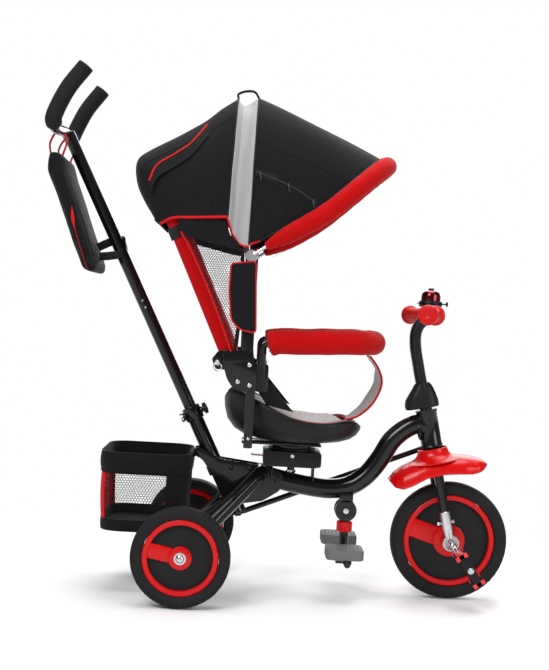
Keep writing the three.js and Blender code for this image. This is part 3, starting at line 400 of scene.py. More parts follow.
TYRE_NODES = {"front_wheel": "front_tyre", "rear_wheel_right": "rear_tyre_right",
              "rear_wheel_left": "rear_tyre_left"}
RIM_NODES = {"front_wheel": "front_rim", "rear_wheel_right": "rear_rim_right", "rear_wheel_left": "rear_rim_left"}
WHEELBASE, TRACK = 559, 440
wheel("front_wheel", "front_wheel", (WHEELBASE, 0, 125), 125, 96.5, 34, 40, math.radians(163))
wheel("rear_wheel_right", "rear_wheel_right", (0, -TRACK / 2, 100), 100, 75.5, 23, 30, math.radians(168.7))
wheel("rear_wheel_left", "rear_wheel_left", (0, TRACK / 2, 100), 100, 75.5, 23, 30, math.radians(168.7))

# ---- Main frame ----------------------------------------------------------------------------------
# One bent steel tube from the rear channel up to the head tube, powder coated gloss black.
# The head tube is welded on; a bead runs round the joint.


def through(points, steps=8, closed=False):
    """A smooth line through points (centripetal Catmull-Rom)."""
    points = [Vector(p) for p in points]
    count = len(points)
    line = []
    for i in range(count if closed else count - 1):
        p1, p2 = points[i], points[(i + 1) % count]
        p0 = points[i - 1] if closed or i else p1 * 2 - p2
        p3 = points[(i + 2) % count] if closed or i + 2 < count else p2 * 2 - p1
        a, b, c = [max((q - p).length, 1e-6) ** 0.5 for p, q in ((p0, p1), (p1, p2), (p2, p3))]
        m1 = (p1 - p0) / a - (p2 - p0) / (a + b) + (p2 - p1) / b
        m2 = (p2 - p1) / b - (p3 - p1) / (b + c) + (p3 - p2) / c
        for step in range(steps):
            s = step / steps
            line.append(p1 * (2 * s**3 - 3 * s**2 + 1) + m1 * b * (s**3 - 2 * s**2 + s)
                        + p2 * (3 * s**2 - 2 * s**3) + m2 * b * (s**3 - s**2))
    return line if closed else line + [points[-1]]


def bent(points, bend, steps=8):
    """Straight runs joined by bends that start at bend from each corner."""
    points = [Vector(p) for p in points]
    line = [points[0]]
    for before, corner, after in zip(points, points[1:], points[2:]):
        start = corner + (before - corner).normalized() * bend
        end = corner + (after - corner).normalized() * bend
        for step in range(steps + 1):
            s = step / steps
            line.append(start * (1 - s) ** 2 + corner * 2 * s * (1 - s) + end * s**2)
    return line + [points[-1]]


def tube(line, radius, sides=28, closed=False, flat=1.0, side=None, domed=True):
    """A round bar along a line; radius may be a list. flat squeezes it across side."""
    line = [Vector(p) for p in line]
    count = len(line)
    radii = list(radius) if hasattr(radius, "__len__") else [radius] * count
    ahead = [(line[(i + 1) % count if closed else min(i + 1, count - 1)]
              - line[i - 1 if closed else max(i - 1, 0)]).normalized() for i in range(count)]
    out = Vector(side) if side else ahead[0].orthogonal()
    points, faces = [], []
    if domed and not closed:
        tip = min(radii[0] * 0.25, 1.5)
        line = [line[0], line[0] + ahead[0] * tip] + line[1:-1] + [line[-1] - ahead[-1] * tip, line[-1]]
        radii = [radii[0] - tip, radii[0]] + radii[1:-1] + [radii[-1], radii[-1] - tip]
        ahead = [ahead[0], ahead[0]] + ahead[1:-1] + [ahead[-1], ahead[-1]]
        count = len(line)
    for place, way, r in zip(line, ahead, radii):
        if side:
            out = Vector(side)
        out = (out - way * out.dot(way)).normalized()
        other = way.cross(out)
        for step in range(sides):
            angle = 2 * math.pi * step / sides
            points.append(tuple(place + out * r * flat * math.cos(angle) + other * r * math.sin(angle)))
    for i in range(count if closed else count - 1):
        a, b = i * sides, (i + 1) % count * sides
        for step in range(sides):
            following = (step + 1) % sides
            faces.append([a + step, a + following, b + following, b + step])
    if not closed:
        faces.append(list(range(sides))[::-1])
        faces.append([(count - 1) * sides + step for step in range(sides)])
    return points, faces


def bench(joint):
    """Where a joint stands, in millimetres ahead of the rear axle, left and up, and its axis."""
    found = next(j for j in frame["joints"] if j["name"] == joint)
    x, y, z = found["pos_m"]
    return Vector(((x - AXLE_X) / MM, y / MM, z / MM)), Vector(found["axis"])


STEER, STEER_UP = bench("steer")
STEER_AHEAD = Vector((STEER_UP.z, 0, -STEER_UP.x))


def on_fork(ahead, y, up):
    """A point measured from the steering axis, up it from the front axle."""
    return STEER + STEER_AHEAD * ahead + STEER_UP * up + Vector((0, y, 0))


black_paint = grain(
    mottle(material("black_paint", (0.006, 0.006, 0.007), 0.16, coat=0.3), (0.003, 0.003, 0.004),
           (0.007, 0.007, 0.008), 9, (0.13, 0.24)),
    240, 0.12)
PAINT = (black_paint, "frame_paint")
HEAD_LOW, HEAD_HIGH, HEAD_RADIUS = 201, 282, 22
head_middle = on_fork(0, 0, (HEAD_LOW + HEAD_HIGH) / 2)
main_line = through([
    (172, 0, 239), (229, 0, 228), (300, 0, 221), (341, 0, 229), (375, 0, 252), (403, 0, 289), (428, 0, 332),
    (458, 0, 359), (483, 0, 369), head_middle,
], 9)
head_profile = [
    (14, HEAD_LOW), (HEAD_RADIUS + 1.2, HEAD_LOW), (HEAD_RADIUS + 1.8, HEAD_LOW + 3), (HEAD_RADIUS, HEAD_LOW + 7),
    (HEAD_RADIUS, HEAD_HIGH - 7), (HEAD_RADIUS + 1.4, HEAD_HIGH - 4), (HEAD_RADIUS + 1.2, HEAD_HIGH),
    (14, HEAD_HIGH),
]
MAIN_RADIUS = 21
weld_middle = head_middle - STEER_AHEAD * (HEAD_RADIUS + 0.5)
weld_line = [weld_middle + Vector((0, MAIN_RADIUS * math.cos(a), 0)) + STEER_UP * MAIN_RADIUS * math.sin(a)
             for a in np.linspace(0, 2 * math.pi, 25)[:-1]]
piece("main_tube", together(tube(main_line, MAIN_RADIUS, 40), lathe(head_profile, STEER, STEER_UP, 56),
                            tube(weld_line, 2.2, 8, closed=True)),
      "frame", *PAINT, "main_frame")

# ---- Rear fork, axle and channel -----------------------------------------------------------------
# The rear fork is one bent tube across the frame, bushed for the axle. Two cheek plates bolted
# round it and the main tube hold the steering column's bushes. The axle ends in domed steel caps.
steel = grain(
    mottle(material("bright_steel", (0.62, 0.63, 0.65), 0.22, metallic=1.0), (0.55, 0.56, 0.58), (0.72, 0.73, 0.75),
           30, (0.16, 0.32)),
    700, 0.04)
STEEL = (steel, "chrome")
rear_line = bent([(4, -181, 104), (150, -42, 250), (150, 42, 250), (4, 181, 104)], 26)
bushes = [lathe([(6.4, side * 163), (15, side * 163), (15, side * 194), (6.4, side * 194)], (0, 0, 100), sides=40)
          for side in (-1, 1)]
piece("rear_fork_tube", together(tube(rear_line, 16, 36), *bushes), "frame", *PAINT, "rear_fork")
axle_profile = [(0, -247), (4, -246.6), (7.5, -244), (8.7, -241), (8.7, -239.6), (12, -239.4), (12, -238),
                (6, -237.8),
                (6, 237.8), (12, 238), (12, 239.4), (8.7, 239.6), (8.7, 241), (7.5, 244), (4, 246.6), (0, 247)]
piece("rear_axle_bar", lathe(axle_profile, (0, 0, 100), sides=48, closed=False), "frame", *STEEL, "rear_axle")


def rounded(outline, radius, steps=4):
    """An outline of (x, z) with its corners rounded."""
    made = []
    count = len(outline)
    for i, corner in enumerate(outline):
        before, after = Vector(outline[i - 1]), Vector(outline[(i + 1) % count])
        here = Vector(corner)
        reach = min(radius, (before - here).length * 0.45, (after - here).length * 0.45)
        start = here + (before - here).normalized() * reach
        end = here + (after - here).normalized() * reach
        for step in range(steps + 1):
            s = step / steps
            made.append(tuple(start * (1 - s) ** 2 + here * 2 * s * (1 - s) + end * s**2))
    return made


def plate(outline, y0, y1):
    """An outline of (x, z) between two widths."""
    count = len(outline)
    points = [(x, y0, z) for x, z in outline] + [(x, y1, z) for x, z in outline]
    faces = [list(range(count))[::-1], [count + i for i in range(count)]]
    faces += [[i, (i + 1) % count, count + (i + 1) % count, count + i] for i in range(count)]
    return points, faces


COLUMN, COLUMN_UP = bench("column_turn")
COLUMN_AHEAD = Vector((COLUMN_UP.z, 0, -COLUMN_UP.x))


def on_column(down, ahead=0.0, y=0.0):
    """A point measured down the steering column from its clamp, ahead of it and to the left."""
    return COLUMN - COLUMN_UP * down + COLUMN_AHEAD * ahead + Vector((0, y, 0))


cheek = rounded([(8, 296), (8, 280), (26, 272), (44, 248), (74, 190), (104, 181), (158, 190), (194, 214),
                 (198, 250), (160, 264), (64, 275), (24, 296)], 7)
column_bushes = [lathe([(16.8, -d - 10), (21.6, -d - 10), (21.6, -d + 10), (16.8, -d + 10)], COLUMN, COLUMN_UP, 48)
                 for d in (126, 196)]
piece("rear_cheeks", together(plate(cheek, -24.3, -21.3), plate(cheek, 21.3, 24.3), *column_bushes),
      "frame", *PAINT, "rear_channel", bevel=0.8)


def screws(name, places, radius, height, out, body, made_of, slot, sides=24):
    """Round screw heads with a hexagon recess at places, facing out."""
    head = lathe([(0, -0.6), (radius, -0.6), (radius, height * 0.45), (radius * 0.86, height * 0.8),
                  (radius * 0.5, height), (radius * 0.48, height * 0.35), (0, height * 0.35)], (0, 0, 0), (0, 1, 0),
                  sides, False)
    track = bpy.data.meshes.new(name)
    track.from_pydata([(x * MM + AXLE_X, y * MM, z * MM) for x, y, z in places], [], [])
    carrier = stand(name + "_head", mesh_of(name + "_head", *head, 1e-7))
    made = stand(name, track)
    grown(made, SCREWS, {"Head": carrier, "Facing": out, "Material": made_of})
    settle(made, body, made_of)
    bpy.data.objects.remove(carrier)
    return made


def screw_tree():
    """Geometry Nodes: a copy of Head at every point, its Y turned to Facing."""
    tree = node_group("screws", {"Geometry": "Geometry", "Head": "Object", "Facing": "Vector",
                                 "Material": "Material"})
    add = tree.nodes.new
    source, result = add("NodeGroupInput"), add("NodeGroupOutput")
    facing, head = add("FunctionNodeAlignRotationToVector"), add("GeometryNodeObjectInfo")
    facing.axis = "Y"
    copies, real = add("GeometryNodeInstanceOnPoints"), add("GeometryNodeRealizeInstances")
    painted = add("GeometryNodeSetMaterial")
    for a, out, b, into in [
        (source, "Geometry", copies, "Points"), (source, "Head", head, "Object"),
        (head, "Geometry", copies, "Instance"),
        (source, "Facing", facing, "Vector"), (facing, "Rotation", copies, "Rotation"),
        (copies, "Instances", real, "Geometry"), (real, "Geometry", painted, "Geometry"),
        (source, "Material", painted, "Material"), (painted, "Geometry", result, "Geometry"),
    ]:
        tree.links.new(a.outputs[out], b.inputs[into])
    return tree


SCREWS = screw_tree()
cheek_bolts = [(88, 258), (128, 258), (120, 214), (186, 236)]
for side, label in SIDES:
    screws("cheek_bolts_" + label, [(x, side * 24.3, z) for x, z in cheek_bolts], 5.5, 3.6, (0, side, 0),
           "frame", *PAINT)

# ---- Steering column, clamp and steering rod -----------------------------------------------------
# The column turns in the channel's bushes and the push rod slides in it. A screw with a knob
# clamps the rod. An arm at the foot pulls a rod that steers the fork.
black_plastic = grain(
    mottle(material("black_plastic", (0.012, 0.012, 0.013), 0.42), (0.004, 0.004, 0.0045), (0.010, 0.010, 0.011),
           25, (0.36, 0.5)),
    1300, 0.12)
PLASTIC = (black_plastic, "black_plastic")
COLUMN_LENGTH = 232
column_profile = [
    (13.9, 14.5), (19, 15), (19.5, 13.5), (19.5, -13), (19, -14), (16, -14.2), (16, -219), (20, -219.3),
    (20, -231.5),
    (19.6, -232), (0, -232), (0, -216), (13.9, -216),
]
arm = [on_column(COLUMN_LENGTH - 3 + d, a, 0) for d, a in ((-3, -9), (-3, 9), (3, 9), (3, -9))]
BAR_FACES = [[3, 2, 1, 0], [4, 5, 6, 7], [0, 1, 5, 4], [1, 2, 6, 5], [2, 3, 7, 6], [3, 0, 4, 7]]
arm_solid = (arm + [p + Vector((0, 48, 0)) for p in arm], BAR_FACES)
piece("column_tube", together(
    lathe(column_profile, COLUMN, COLUMN_UP, 56), arm_solid,
    tube([on_column(0, 14), on_column(0, 22)], 7.5, 24), tube([on_column(0, -14), on_column(0, -24)], 8.5, 24),
    tube([on_column(COLUMN_LENGTH - 4, 0, 40), on_column(COLUMN_LENGTH + 14, 0, 40)], 4, 20),
), "column", *PAINT, "steering_column", bevel=0.5)
piece("clamp_screw_end", together(
    tube([on_column(0, -23.5), on_column(0, -26)], 6.5, 28),
    lathe([(7.6, 22.6), (9.6, 22.6), (10, 25), (9.6, 27.6), (7.6, 27.6)], COLUMN, -COLUMN_AHEAD, 32),
), "column", *STEEL)
knob_profile = [(0, 22.8), (7, 22.8), (8, 24), (8, 31.5), (7, 33), (0, 33)]
piece("clamp_knob_grip", together(
    lathe(knob_profile, COLUMN, COLUMN_AHEAD, 32, False), tube([on_column(0, 14.5), on_column(0, 24)], 3.5, 16),
    tube([on_column(-12, 28), on_column(12, 28)], 4, 20),
), "clamp_knob", *PLASTIC, "clamp_knob", bevel=0.4)
LINK_FRONT, LINK_UP = bench("rod_swing")
link_rear = on_column(COLUMN_LENGTH + 7, 0, 40)
along_link = (link_rear - LINK_FRONT).normalized()
piece("steering_link", together(
    tube([LINK_FRONT + along_link * 8, link_rear - along_link * 8], 6, 24),
    lathe([(5, -4.5), (9.4, -4.5), (10, -3.6), (10, 3.6), (9.4, 4.5), (5, 4.5)], LINK_FRONT, LINK_UP, 32),
    lathe([(5.6, -4.5), (9.4, -4.5), (10, -3.6), (10, 3.6), (9.4, 4.5), (5.6, 4.5)], link_rear, COLUMN_UP, 32),
), "steering_link", *PAINT, "steering_rod")

# ---- Push handle ---------------------------------------------------------------------------------
# A long black tube that slides in the column, with a cross bar bent up into two handles.
# Each handle wears a soft ribless foam sleeve.
handle_foam = grain(
    mottle(material("handle_foam", (0.012, 0.012, 0.012), 0.85), (0.005, 0.005, 0.005), (0.013, 0.013, 0.013), 60,
           (0.75, 0.95)),
    1600, 0.35, "ShaderNodeTexVoronoi", "Distance")
ROD_LENGTH, HANDLE_HALF = 650, 147
HANDLE = on_column(-ROD_LENGTH)


def handle_point(ahead, y, up):
    """A point ahead of, beside and above the top of the push tube."""
    return HANDLE + Vector((ahead, y, up))


def handle_side(side):
    """The bend of one handle, from the cross bar to its end."""
    return [handle_point(-14, side * HANDLE_HALF, 4), handle_point(-5, side * HANDLE_HALF, 26),
            handle_point(17, side * HANDLE_HALF, 72), handle_point(46, side * HANDLE_HALF, 112)]


cross_line = through(handle_side(-1)[:0:-1] + [
    handle_point(-10, 8 - HANDLE_HALF, 0), handle_point(-6, 0, 0), handle_point(-10, HANDLE_HALF - 8, 0)]
    + handle_side(1)[1:], 8)
piece("push_tube", together(tube([on_column(60), on_column(-ROD_LENGTH)], 13, 36), tube(cross_line, 11, 28)),
      "push_handle", *PAINT, "push_rod")
for side, label in SIDES:
    sleeve = through([handle_point(-11, side * (HANDLE_HALF - 20), 1),
                      handle_point(-11, side * (HANDLE_HALF - 5), 8)] + handle_side(side)[1:]
                     + [handle_side(side)[3] + Vector((5, 0, 7))], 10)
    girth = [13, 15, 16.2] + [17] * (len(sleeve) - 7) + [16.8, 16, 14, 9]
    piece("handle_sleeve_" + label, tube(sleeve, girth, 36), "push_handle", handle_foam, "handle_foam",
          "push_grip_" + label)
for turn_down in (246, 262):
    piece(f"rod_button_{turn_down}", tube([on_column(-turn_down, 0, -12.2), on_column(-turn_down, 0, -14.2)], 2.4,
                                          16),
          "push_handle", *STEEL)

# ---- Front fork ----------------------------------------------------------------------------------
# Two painted legs under a crown on the steerer, with pressed steel tips that carry the crank
# bearings. The steering arm on the left holds the steering rod's front eye.
def straight(a, b, radius, sides=28):
    """A straight round bar."""
    return tube([a, b], radius, sides)


fork_parts = [
    tube(bent([on_fork(0, -40, 66), on_fork(0, -40, 157), on_fork(0, 40, 157), on_fork(0, 40, 66)], 9), 10, 28),
    lathe([(0, 152), (13, 152), (18, 163), (18, 199), (13, 200.5), (13, 285), (0, 285)], STEER, STEER_UP, 48,
          False),
    straight(on_fork(0, 40, 186), on_fork(0, 40, 207), 4, 20),
]
arm_outline = [on_fork(a, y, up) for up in (185, 190) for a, y in ((-8, 0), (8, 0), (8, 49), (-8, 49))]
fork_parts.append((arm_outline, BAR_FACES))
piece("fork_legs", together(*fork_parts), "fork", *PAINT, "fork")
AXLE = Vector((WHEELBASE, 0, 125))
for side, label in SIDES:
    tip_line = [on_fork(1.5 - 1.5 * up / 68, side * 40, up) for up in (8, 16, 24, 32, 40, 50, 60, 67.4)]
    disc = lathe([(6.9, -7), (16.6, -7), (17.5, -6), (17.5, 6), (16.6, 7), (15.2, 7.2), (14.6, 6.4), (11.6, 6.4),
                  (11, 7.2),
                  (9, 7.2), (8.6, 6.2), (6.9, 6.2)], AXLE + Vector((0, side * 40, 0)), (0, side, 0), 56)
    piece("fork_tip_steel_" + label, together(
        tube(tip_line, [8.5, 9.5, 10.4, 11, 11.3, 11.5, 11.5, 11.5], 28, side=(0, 1, 0)), disc,
        straight(on_fork(-18, side * 40, 43), on_fork(17, side * 40, 43), 3, 16),
        lathe([(0, -19.4), (3.6, -19.2), (4.6, -17.6), (4.8, -15), (0, -15)], on_fork(0, side * 40, 43),
              STEER_AHEAD, 24, False),
        lathe([(0, 15), (4.8, 15), (4.6, 16.4), (3.6, 17.4), (0, 17.6)], on_fork(0, side * 40, 43), STEER_AHEAD, 24,
              False),
    ), "fork", *STEEL, "fork_tip_" + label)

# ---- Fender --------------------------------------------------------------------------------------
# One glossy red moulding over the front wheel. It flares from a round neck under the head tube
# to a short visor in front and behind, with a rolled lip round its edge.
def grid(function, across, along, close_across=False):
    """A surface of function(u, v), u and v from 0 to 1."""
    points = [tuple(function(i / across, j / along)) for j in range(along + 1)
              for i in range(across + (not close_across))]
    width = across if close_across else across + 1
    faces = [[j * width + i, j * width + (i + 1) % width, (j + 1) * width + (i + 1) % width, (j + 1) * width + i]
             for j in range(along) for i in range(across)]
    return points, faces


def level_at(stations, x):
    """A value read from (x, value) stations."""
    xs, values = zip(*stations)
    return float(np.interp(x, xs, values))


crown_stations = [(427, 249), (436, 262), (452, 275), (470, 285), (495, 296), (525, 303), (560, 307), (590, 306),
                  (612, 303), (624, 299), (628, 294)]
edge_stations = [(427, 247), (436, 237), (452, 235), (470, 243), (500, 261), (536, 271), (570, 274), (598, 275),
                 (616, 281), (628, 292)]
width_stations = [(427, 20), (436, 40), (452, 51), (480, 55), (580, 55), (610, 48), (622, 37), (628, 22)]


def fender_point(u, v):
    """The fender at u round it and v along it."""
    x = 427 + 201 * v
    swing = math.pi * (u - 0.5)
    half, crown, edge = level_at(width_stations, x), level_at(crown_stations, x), level_at(edge_stations, x)
    round_side = abs(math.sin(swing)) ** 0.75 * (1 if swing > 0 else -1)
    return x, half * round_side, edge + (crown - edge) * abs(math.cos(swing)) ** 0.8


fender_neck = lathe([(30, 198.6), (31.4, 198.2), (32, 194), (34, 187), (39, 181), (48, 176), (60, 172), (60, 170),
                     (47, 173.6),
                     (37, 178.6), (31, 185), (29, 193)], STEER, STEER_UP, 72)
lip_line = [fender_point(0, v) for v in np.linspace(0, 1, 40)] + [fender_point(u, 1)
    for u in np.linspace(0, 1, 12)[1:]] + [
    fender_point(1, v) for v in np.linspace(1, 0, 40)[1:]] + [fender_point(u, 0)
        for u in np.linspace(1, 0, 12)[1:-1]]
piece("fender_shell", grid(fender_point, 40, 56), "fork", *RED, "fender", wall=2.4)
piece("fender_neck", fender_neck, "fork", *RED)
piece("fender_lip", tube(lip_line, 2.1, 12, closed=True), "fork", *RED)

# ---- Stem, handlebar and grips -------------------------------------------------------------------
# A ribbed black gooseneck rises from a moulded two-lobed cover to the bar, which is swept back.
# The grips are soft red plastic with a flange at each end.
def cover_ring(up, back, ahead, half, notch):
    """A ring of the stem cover, notched at both sides."""
    ring = []
    for step in range(64):
        angle = 2 * math.pi * step / 64
        cx, sx = math.cos(angle), math.sin(angle)
        dip = 1 - notch * math.exp(-((abs(abs(angle - math.pi) - math.pi / 2) / 0.16) ** 2))
        a = (ahead + back) / 2 + (ahead - back) / 2 * math.copysign(abs(cx) ** 0.8, cx) * dip
        ring.append(tuple(on_fork(a, half * math.copysign(abs(sx) ** 0.8, sx) * dip, up)))
    return ring


def loft(rings, again=False):
    """A skin over rings of points, capped at both ends or led round to the first ring again."""
    count = len(rings[0])
    points = [p for ring in rings for p in ring]
    faces = []
    for k in range(len(rings) if again else len(rings) - 1):
        a, b = k * count, (k + 1) % len(rings) * count
        faces += [[a + i, a + (i + 1) % count, b + (i + 1) % count, b + i] for i in range(count)]
    if not again:
        faces += [list(range(count))[::-1], [len(points) - count + i for i in range(count)]]
    return points, faces


cover = loft([cover_ring(*r) for r in [
    (286.5, -41, 27, 22, 0), (287.5, -43, 28.5, 23.6, 0.02), (294, -44, 29, 24, 0.05), (300, -43, 28.6, 24, 0.08),
    (308, -40, 27, 24, 0.1),
    (317, -33, 25, 23, 0.1), (326, -25.5, 22.5, 21.5, 0.1), (334, -19.5, 19, 19, 0.06), (339, -16, 16, 16.5, 0.03),
    (340, -14, 14.4, 14.6, 0),
]])
piece("stem_cover_moulding", cover, "fork", *PLASTIC, "stem_cover", crisp=50)
STEM_TOP, STEM_REACH, BAR_HALF, KNEE = 477, 47, 152, 52
stem_line = through([on_fork(a, 0, up) for a, up in (
    (0, 286), (-2, 380), (-1, 425), (6, 452), (20, 468), (STEM_REACH, STEM_TOP))], 10)
piece("gooseneck", tube(stem_line, 11.6, 28), "fork", *PLASTIC, "stem")
rib = lathe([(10.5, -1.5), (12.6, -1.1), (13, -0.4), (13, 0.4), (12.6, 1.1), (10.5, 1.5)], (0, 0, 0), (0, 0, 1), 28)
row("gooseneck_ribs", [p for p in stem_line if (p - STEER).dot(STEER_UP) > 330][:-3], rib, 4.3, (0, 1, 0),
    "fork", *PLASTIC)


def bar_end(side):
    """The end of the handlebar."""
    return on_fork(STEM_REACH - 33, side * BAR_HALF, STEM_TOP + 7)


def bar_knee(side):
    """Where the handlebar bends back."""
    return on_fork(STEM_REACH, side * KNEE, STEM_TOP)


piece("bar_tube", tube(bent([bar_end(-1), bar_knee(-1), bar_knee(1), bar_end(1)], 18), 11, 28),
      "fork", *PAINT, "handlebar")
piece("bar_clamp", lathe([(11.4, -9), (14.6, -9), (15.4, -8), (15.4, 8), (14.6, 9), (11.4, 9)],
                         on_fork(STEM_REACH, 0, STEM_TOP), (0, 1, 0), 36), "fork", *PLASTIC)
soft_red = grain(
    mottle(material("soft_red", (0.66, 0.012, 0.012), 0.38), (0.48, 0.0012, 0.0022), (0.58, 0.0020, 0.0032), 40,
           (0.32, 0.46)), 900, 0.1)
for side, label in SIDES:
    length = (bar_end(side) - bar_knee(side)).length
    run = (bar_end(side) - bar_knee(side)).normalized()
    start, stop = 20, length + 2
    grip = [(11.4, start), (19.6, start), (21, start + 1.6), (20.4, start + 4.6), (16.6, start + 7)]
    ridges = 8
    for k in range(ridges):
        middle = start + 12 + (stop - start - 32) * k / (ridges - 1)
        grip += [(15.2, middle - 2.6), (16.2, middle - 1.2), (16.2, middle + 1.2), (15.2, middle + 2.6)]
    grip += [(16.4, stop - 13), (20, stop - 10.5), (21, stop - 8), (20.8, stop - 4), (18.4, stop - 0.8), (14, stop),
             (5, stop + 0.4), (3, stop - 0.8),
             (0, stop - 0.8)]
    piece("grip_sleeve_" + label, lathe(grip + [(0, length - 0.5), (11.4, length - 0.5)], bar_knee(side), run, 48,
                                        False), "fork", soft_red,
          "red_plastic", "grip_" + label)

# ---- Bell ----------------------------------------------------------------------------------------
# A thumb bell on the left of the stem: a ribbed black base ring clamped on the bar, a dark red
# metallic dome with a black cap, and a sprung lever in front.
BELL = on_fork(STEM_REACH, 38, STEM_TOP)
bell_middle = BELL + Vector((-3, 0, 0))
bell_metal = grain(
    mottle(material("bell_metal", (0.17, 0.006, 0.012), 0.2, metallic=1.0, coat=0.5), (0.14, 0.004, 0.010),
           (0.24, 0.010, 0.018), 50, (0.15, 0.28)),
    900, 0.03)
piece("bell_base_ring", together(
    lathe([(0, 18), (22, 18), (24.6, 20), (25, 22), (25, 29), (24, 31), (0, 31)], bell_middle, (0, 0, 1), 64,
          False),
    lathe([(0, 11), (9, 11), (9, 19), (0, 19)], bell_middle, (0, 0, 1), 32, False),
    lathe([(11.6, -6), (14.4, -6), (15, -5), (15, 5), (14.4, 6), (11.6, 6)], BELL, (0, 1, 0), 40),
), "fork", *PLASTIC, "bell_base")
ridge = block(2.4, 1.8, 8)
row("bell_base_ridges", [bell_middle + Vector((25 * math.cos(a), 25 * math.sin(a), 25.5))
                         for a in np.linspace(0, 2 * math.pi, 49)[:-1]],
    ([(c, b, a) for a, b, c in ridge[0]], ridge[1]), 2 * math.pi * 25 / 28, (0, 0, 1), "fork", *PLASTIC,
    closed=True)
piece("bell_dome_shell", lathe([(0, 31.4), (20.4, 31.4), (21, 32.4), (20.8, 34), (20.4, 37), (20.6, 42), (19.4, 48),
                                (16, 52), (10, 54.6), (0, 55)],
                               bell_middle, (0, 0, 1), 64, False), "fork", bell_metal, "bell_metal", "bell_dome")
piece("bell_cap", lathe([(0, 54.8), (6.4, 54.8), (6.4, 57.4), (5, 59), (0, 59)], bell_middle, (0, 0, 1), 32, False),
      "fork", *PLASTIC)


def box(x0, x1, y0, y1, z0, z1):
    """A block between its bounds."""
    return plate([(x0, z0), (x1, z0), (x1, z1), (x0, z1)], y0, y1)


bx, by, bz = BELL
piece("bell_thumb_lever", together(
    box(bx + 9, bx + 33, by - 2.5, by + 2.5, bz + 24.5, bz + 27.5),
    box(bx + 31, bx + 34, by - 7, by + 7, bz + 21, bz + 31)),
    "bell_lever", *PLASTIC, "bell_lever", bevel=0.9)

# ---- Crank and pedals ----------------------------------------------------------------------------
# The crank axle is fixed in the front hub, with bent steel arms and pedal pins. Each pedal is a
# black caged block with two pairs of red reflectors.
CRANK_REACH, CRANK_ANGLE = 48, math.radians(-54)
crank_way = Vector((math.cos(CRANK_ANGLE), 0, math.sin(CRANK_ANGLE)))
pedal_up = Vector((-math.sin(CRANK_ANGLE), 0, math.cos(CRANK_ANGLE)))
crank_solids = []
for side in (-1, 1):
    way = crank_way * -side
    crank_solids.append(tube(bent([
        AXLE, AXLE + Vector((0, side * 60, 0)), AXLE + way * CRANK_REACH + Vector((0, side * 60, 0)),
        AXLE + way * CRANK_REACH + Vector((0, side * 142, 0))], 8), 5.6, 28))
    crank_solids.append(lathe([(0, 48), (6.6, 48), (7.6, 49), (7.6, 53), (0, 53)], AXLE, (0, side, 0), 6, False))
piece("crank_bar", together(*crank_solids), "front_wheel", *STEEL, "crank")
reflector_red = grain(
    mottle(material("reflector_red", (0.75, 0.01, 0.01), 0.12, coat=0.8), (0.70, 0.006, 0.006), (0.85, 0.02, 0.015),
           300, (0.08, 0.2)),
    1100, 0.25, "ShaderNodeTexVoronoi", "Distance")
for side, label in SIDES:
    body = "pedal_" + label
    middle = AXLE + crank_way * CRANK_REACH * -side

    def on_pedal(along, y, up):
        return tuple(middle + crank_way * along + pedal_up * up + Vector((0, side * (74 + y), 0)))

    def bar_of(l0, l1, y0, y1, u0, u1):
        points, faces = box(l0, l1, y0, y1, u0, u1)
        return [on_pedal(*p) for p in points], faces

    cage = [bar_of(-36, -29, 0, 64, -11, 11), bar_of(29, 36, 0, 64, -11, 11), bar_of(-36, 36, 0, 5, -9, 9),
            bar_of(-36, 36, 59, 64, -9, 9)]
    cage += [bar_of(-30, 30, 16 + 14 * k, 19 + 14 * k, -7.5, 7.5) for k in range(3)]
    cage.append(lathe([(5.8, 0.5), (9.6, 0.5), (9.6, 63.5), (5.8, 63.5)], middle + Vector((0, side * 74, 0)),
                      (0, side, 0), 32))
    piece("pedal_cage_" + label, together(*cage), body, *PLASTIC, "pedal_" + label, bevel=0.9)
    lights = [bar_of(a, a + 9, y, y + 6, u, u + 8) for a in (-37, 28) for u in (-13, 5) for y in (-0.6, 58.6)]
    lights += [bar_of(a, a + 1.6, 8, 56, -8, 8) for a in (-37.4, 35.8)]
    piece("pedal_reflectors_" + label, together(*lights), body, reflector_red, "red_plastic", bevel=0.6)
    piece("pedal_nut_" + label, lathe([(0, 63), (6, 63), (7, 64.4), (6.4, 66.6), (0, 67)],
                                      middle + Vector((0, side * 74, 0)), (0, side, 0), 24, False),
          body, *STEEL)

# ---- Swivel and seat base ------------------------------------------------------------------------
# A square black swivel housing bolted on a steel saddle over the main tube. Pulling the red
# lever at its back frees the seat to turn.
swivel_box = plate(rounded([(154, 270), (276, 270), (276, 300), (154, 300)], 5), -56, 56)
piece("swivel_housing", together(swivel_box, lathe([(9, 299), (50, 299), (50, 305), (49, 306), (9, 306)],
    (215, 0, 0), (0, 0, 1), 64),
                                 plate(rounded([(160, 296), (270, 296), (270, 300.6), (160, 300.6)], 2), -59, 59)),
      "frame", *PLASTIC, "swivel_base", bevel=1.2)
for side, label in SIDES:
    screws("swivel_bolts_" + label, [(215, side * 56, 292)], 5, 3.4, (0, side, 0), "frame", *STEEL, 6)
screws("swivel_nut", [(215, 0, 256)], 11, 6, (0, 0, -1), "seat", *STEEL, 6)
lever_outline = rounded([(128, 285.4), (134, 284), (174, 283.6), (174, 286.4), (134, 286.6), (128, 288)], 1)
piece("swivel_lever_tab", plate(lever_outline, -9, 9),
      "swivel_lever", *RED, "swivel_lever", bevel=0.6)
wire_parts = [box(166, 268, -28, 28, 265, 268)]
for x in (174, 262):
    wire_parts.append(tube(bent([(x, -27, 237), (x, -27, 263), (x, 27, 263), (x, 27, 237)], 5), 2, 16))
piece("saddle_bracket", together(*wire_parts), "frame", *PAINT, "seat_bracket", bevel=0.5)
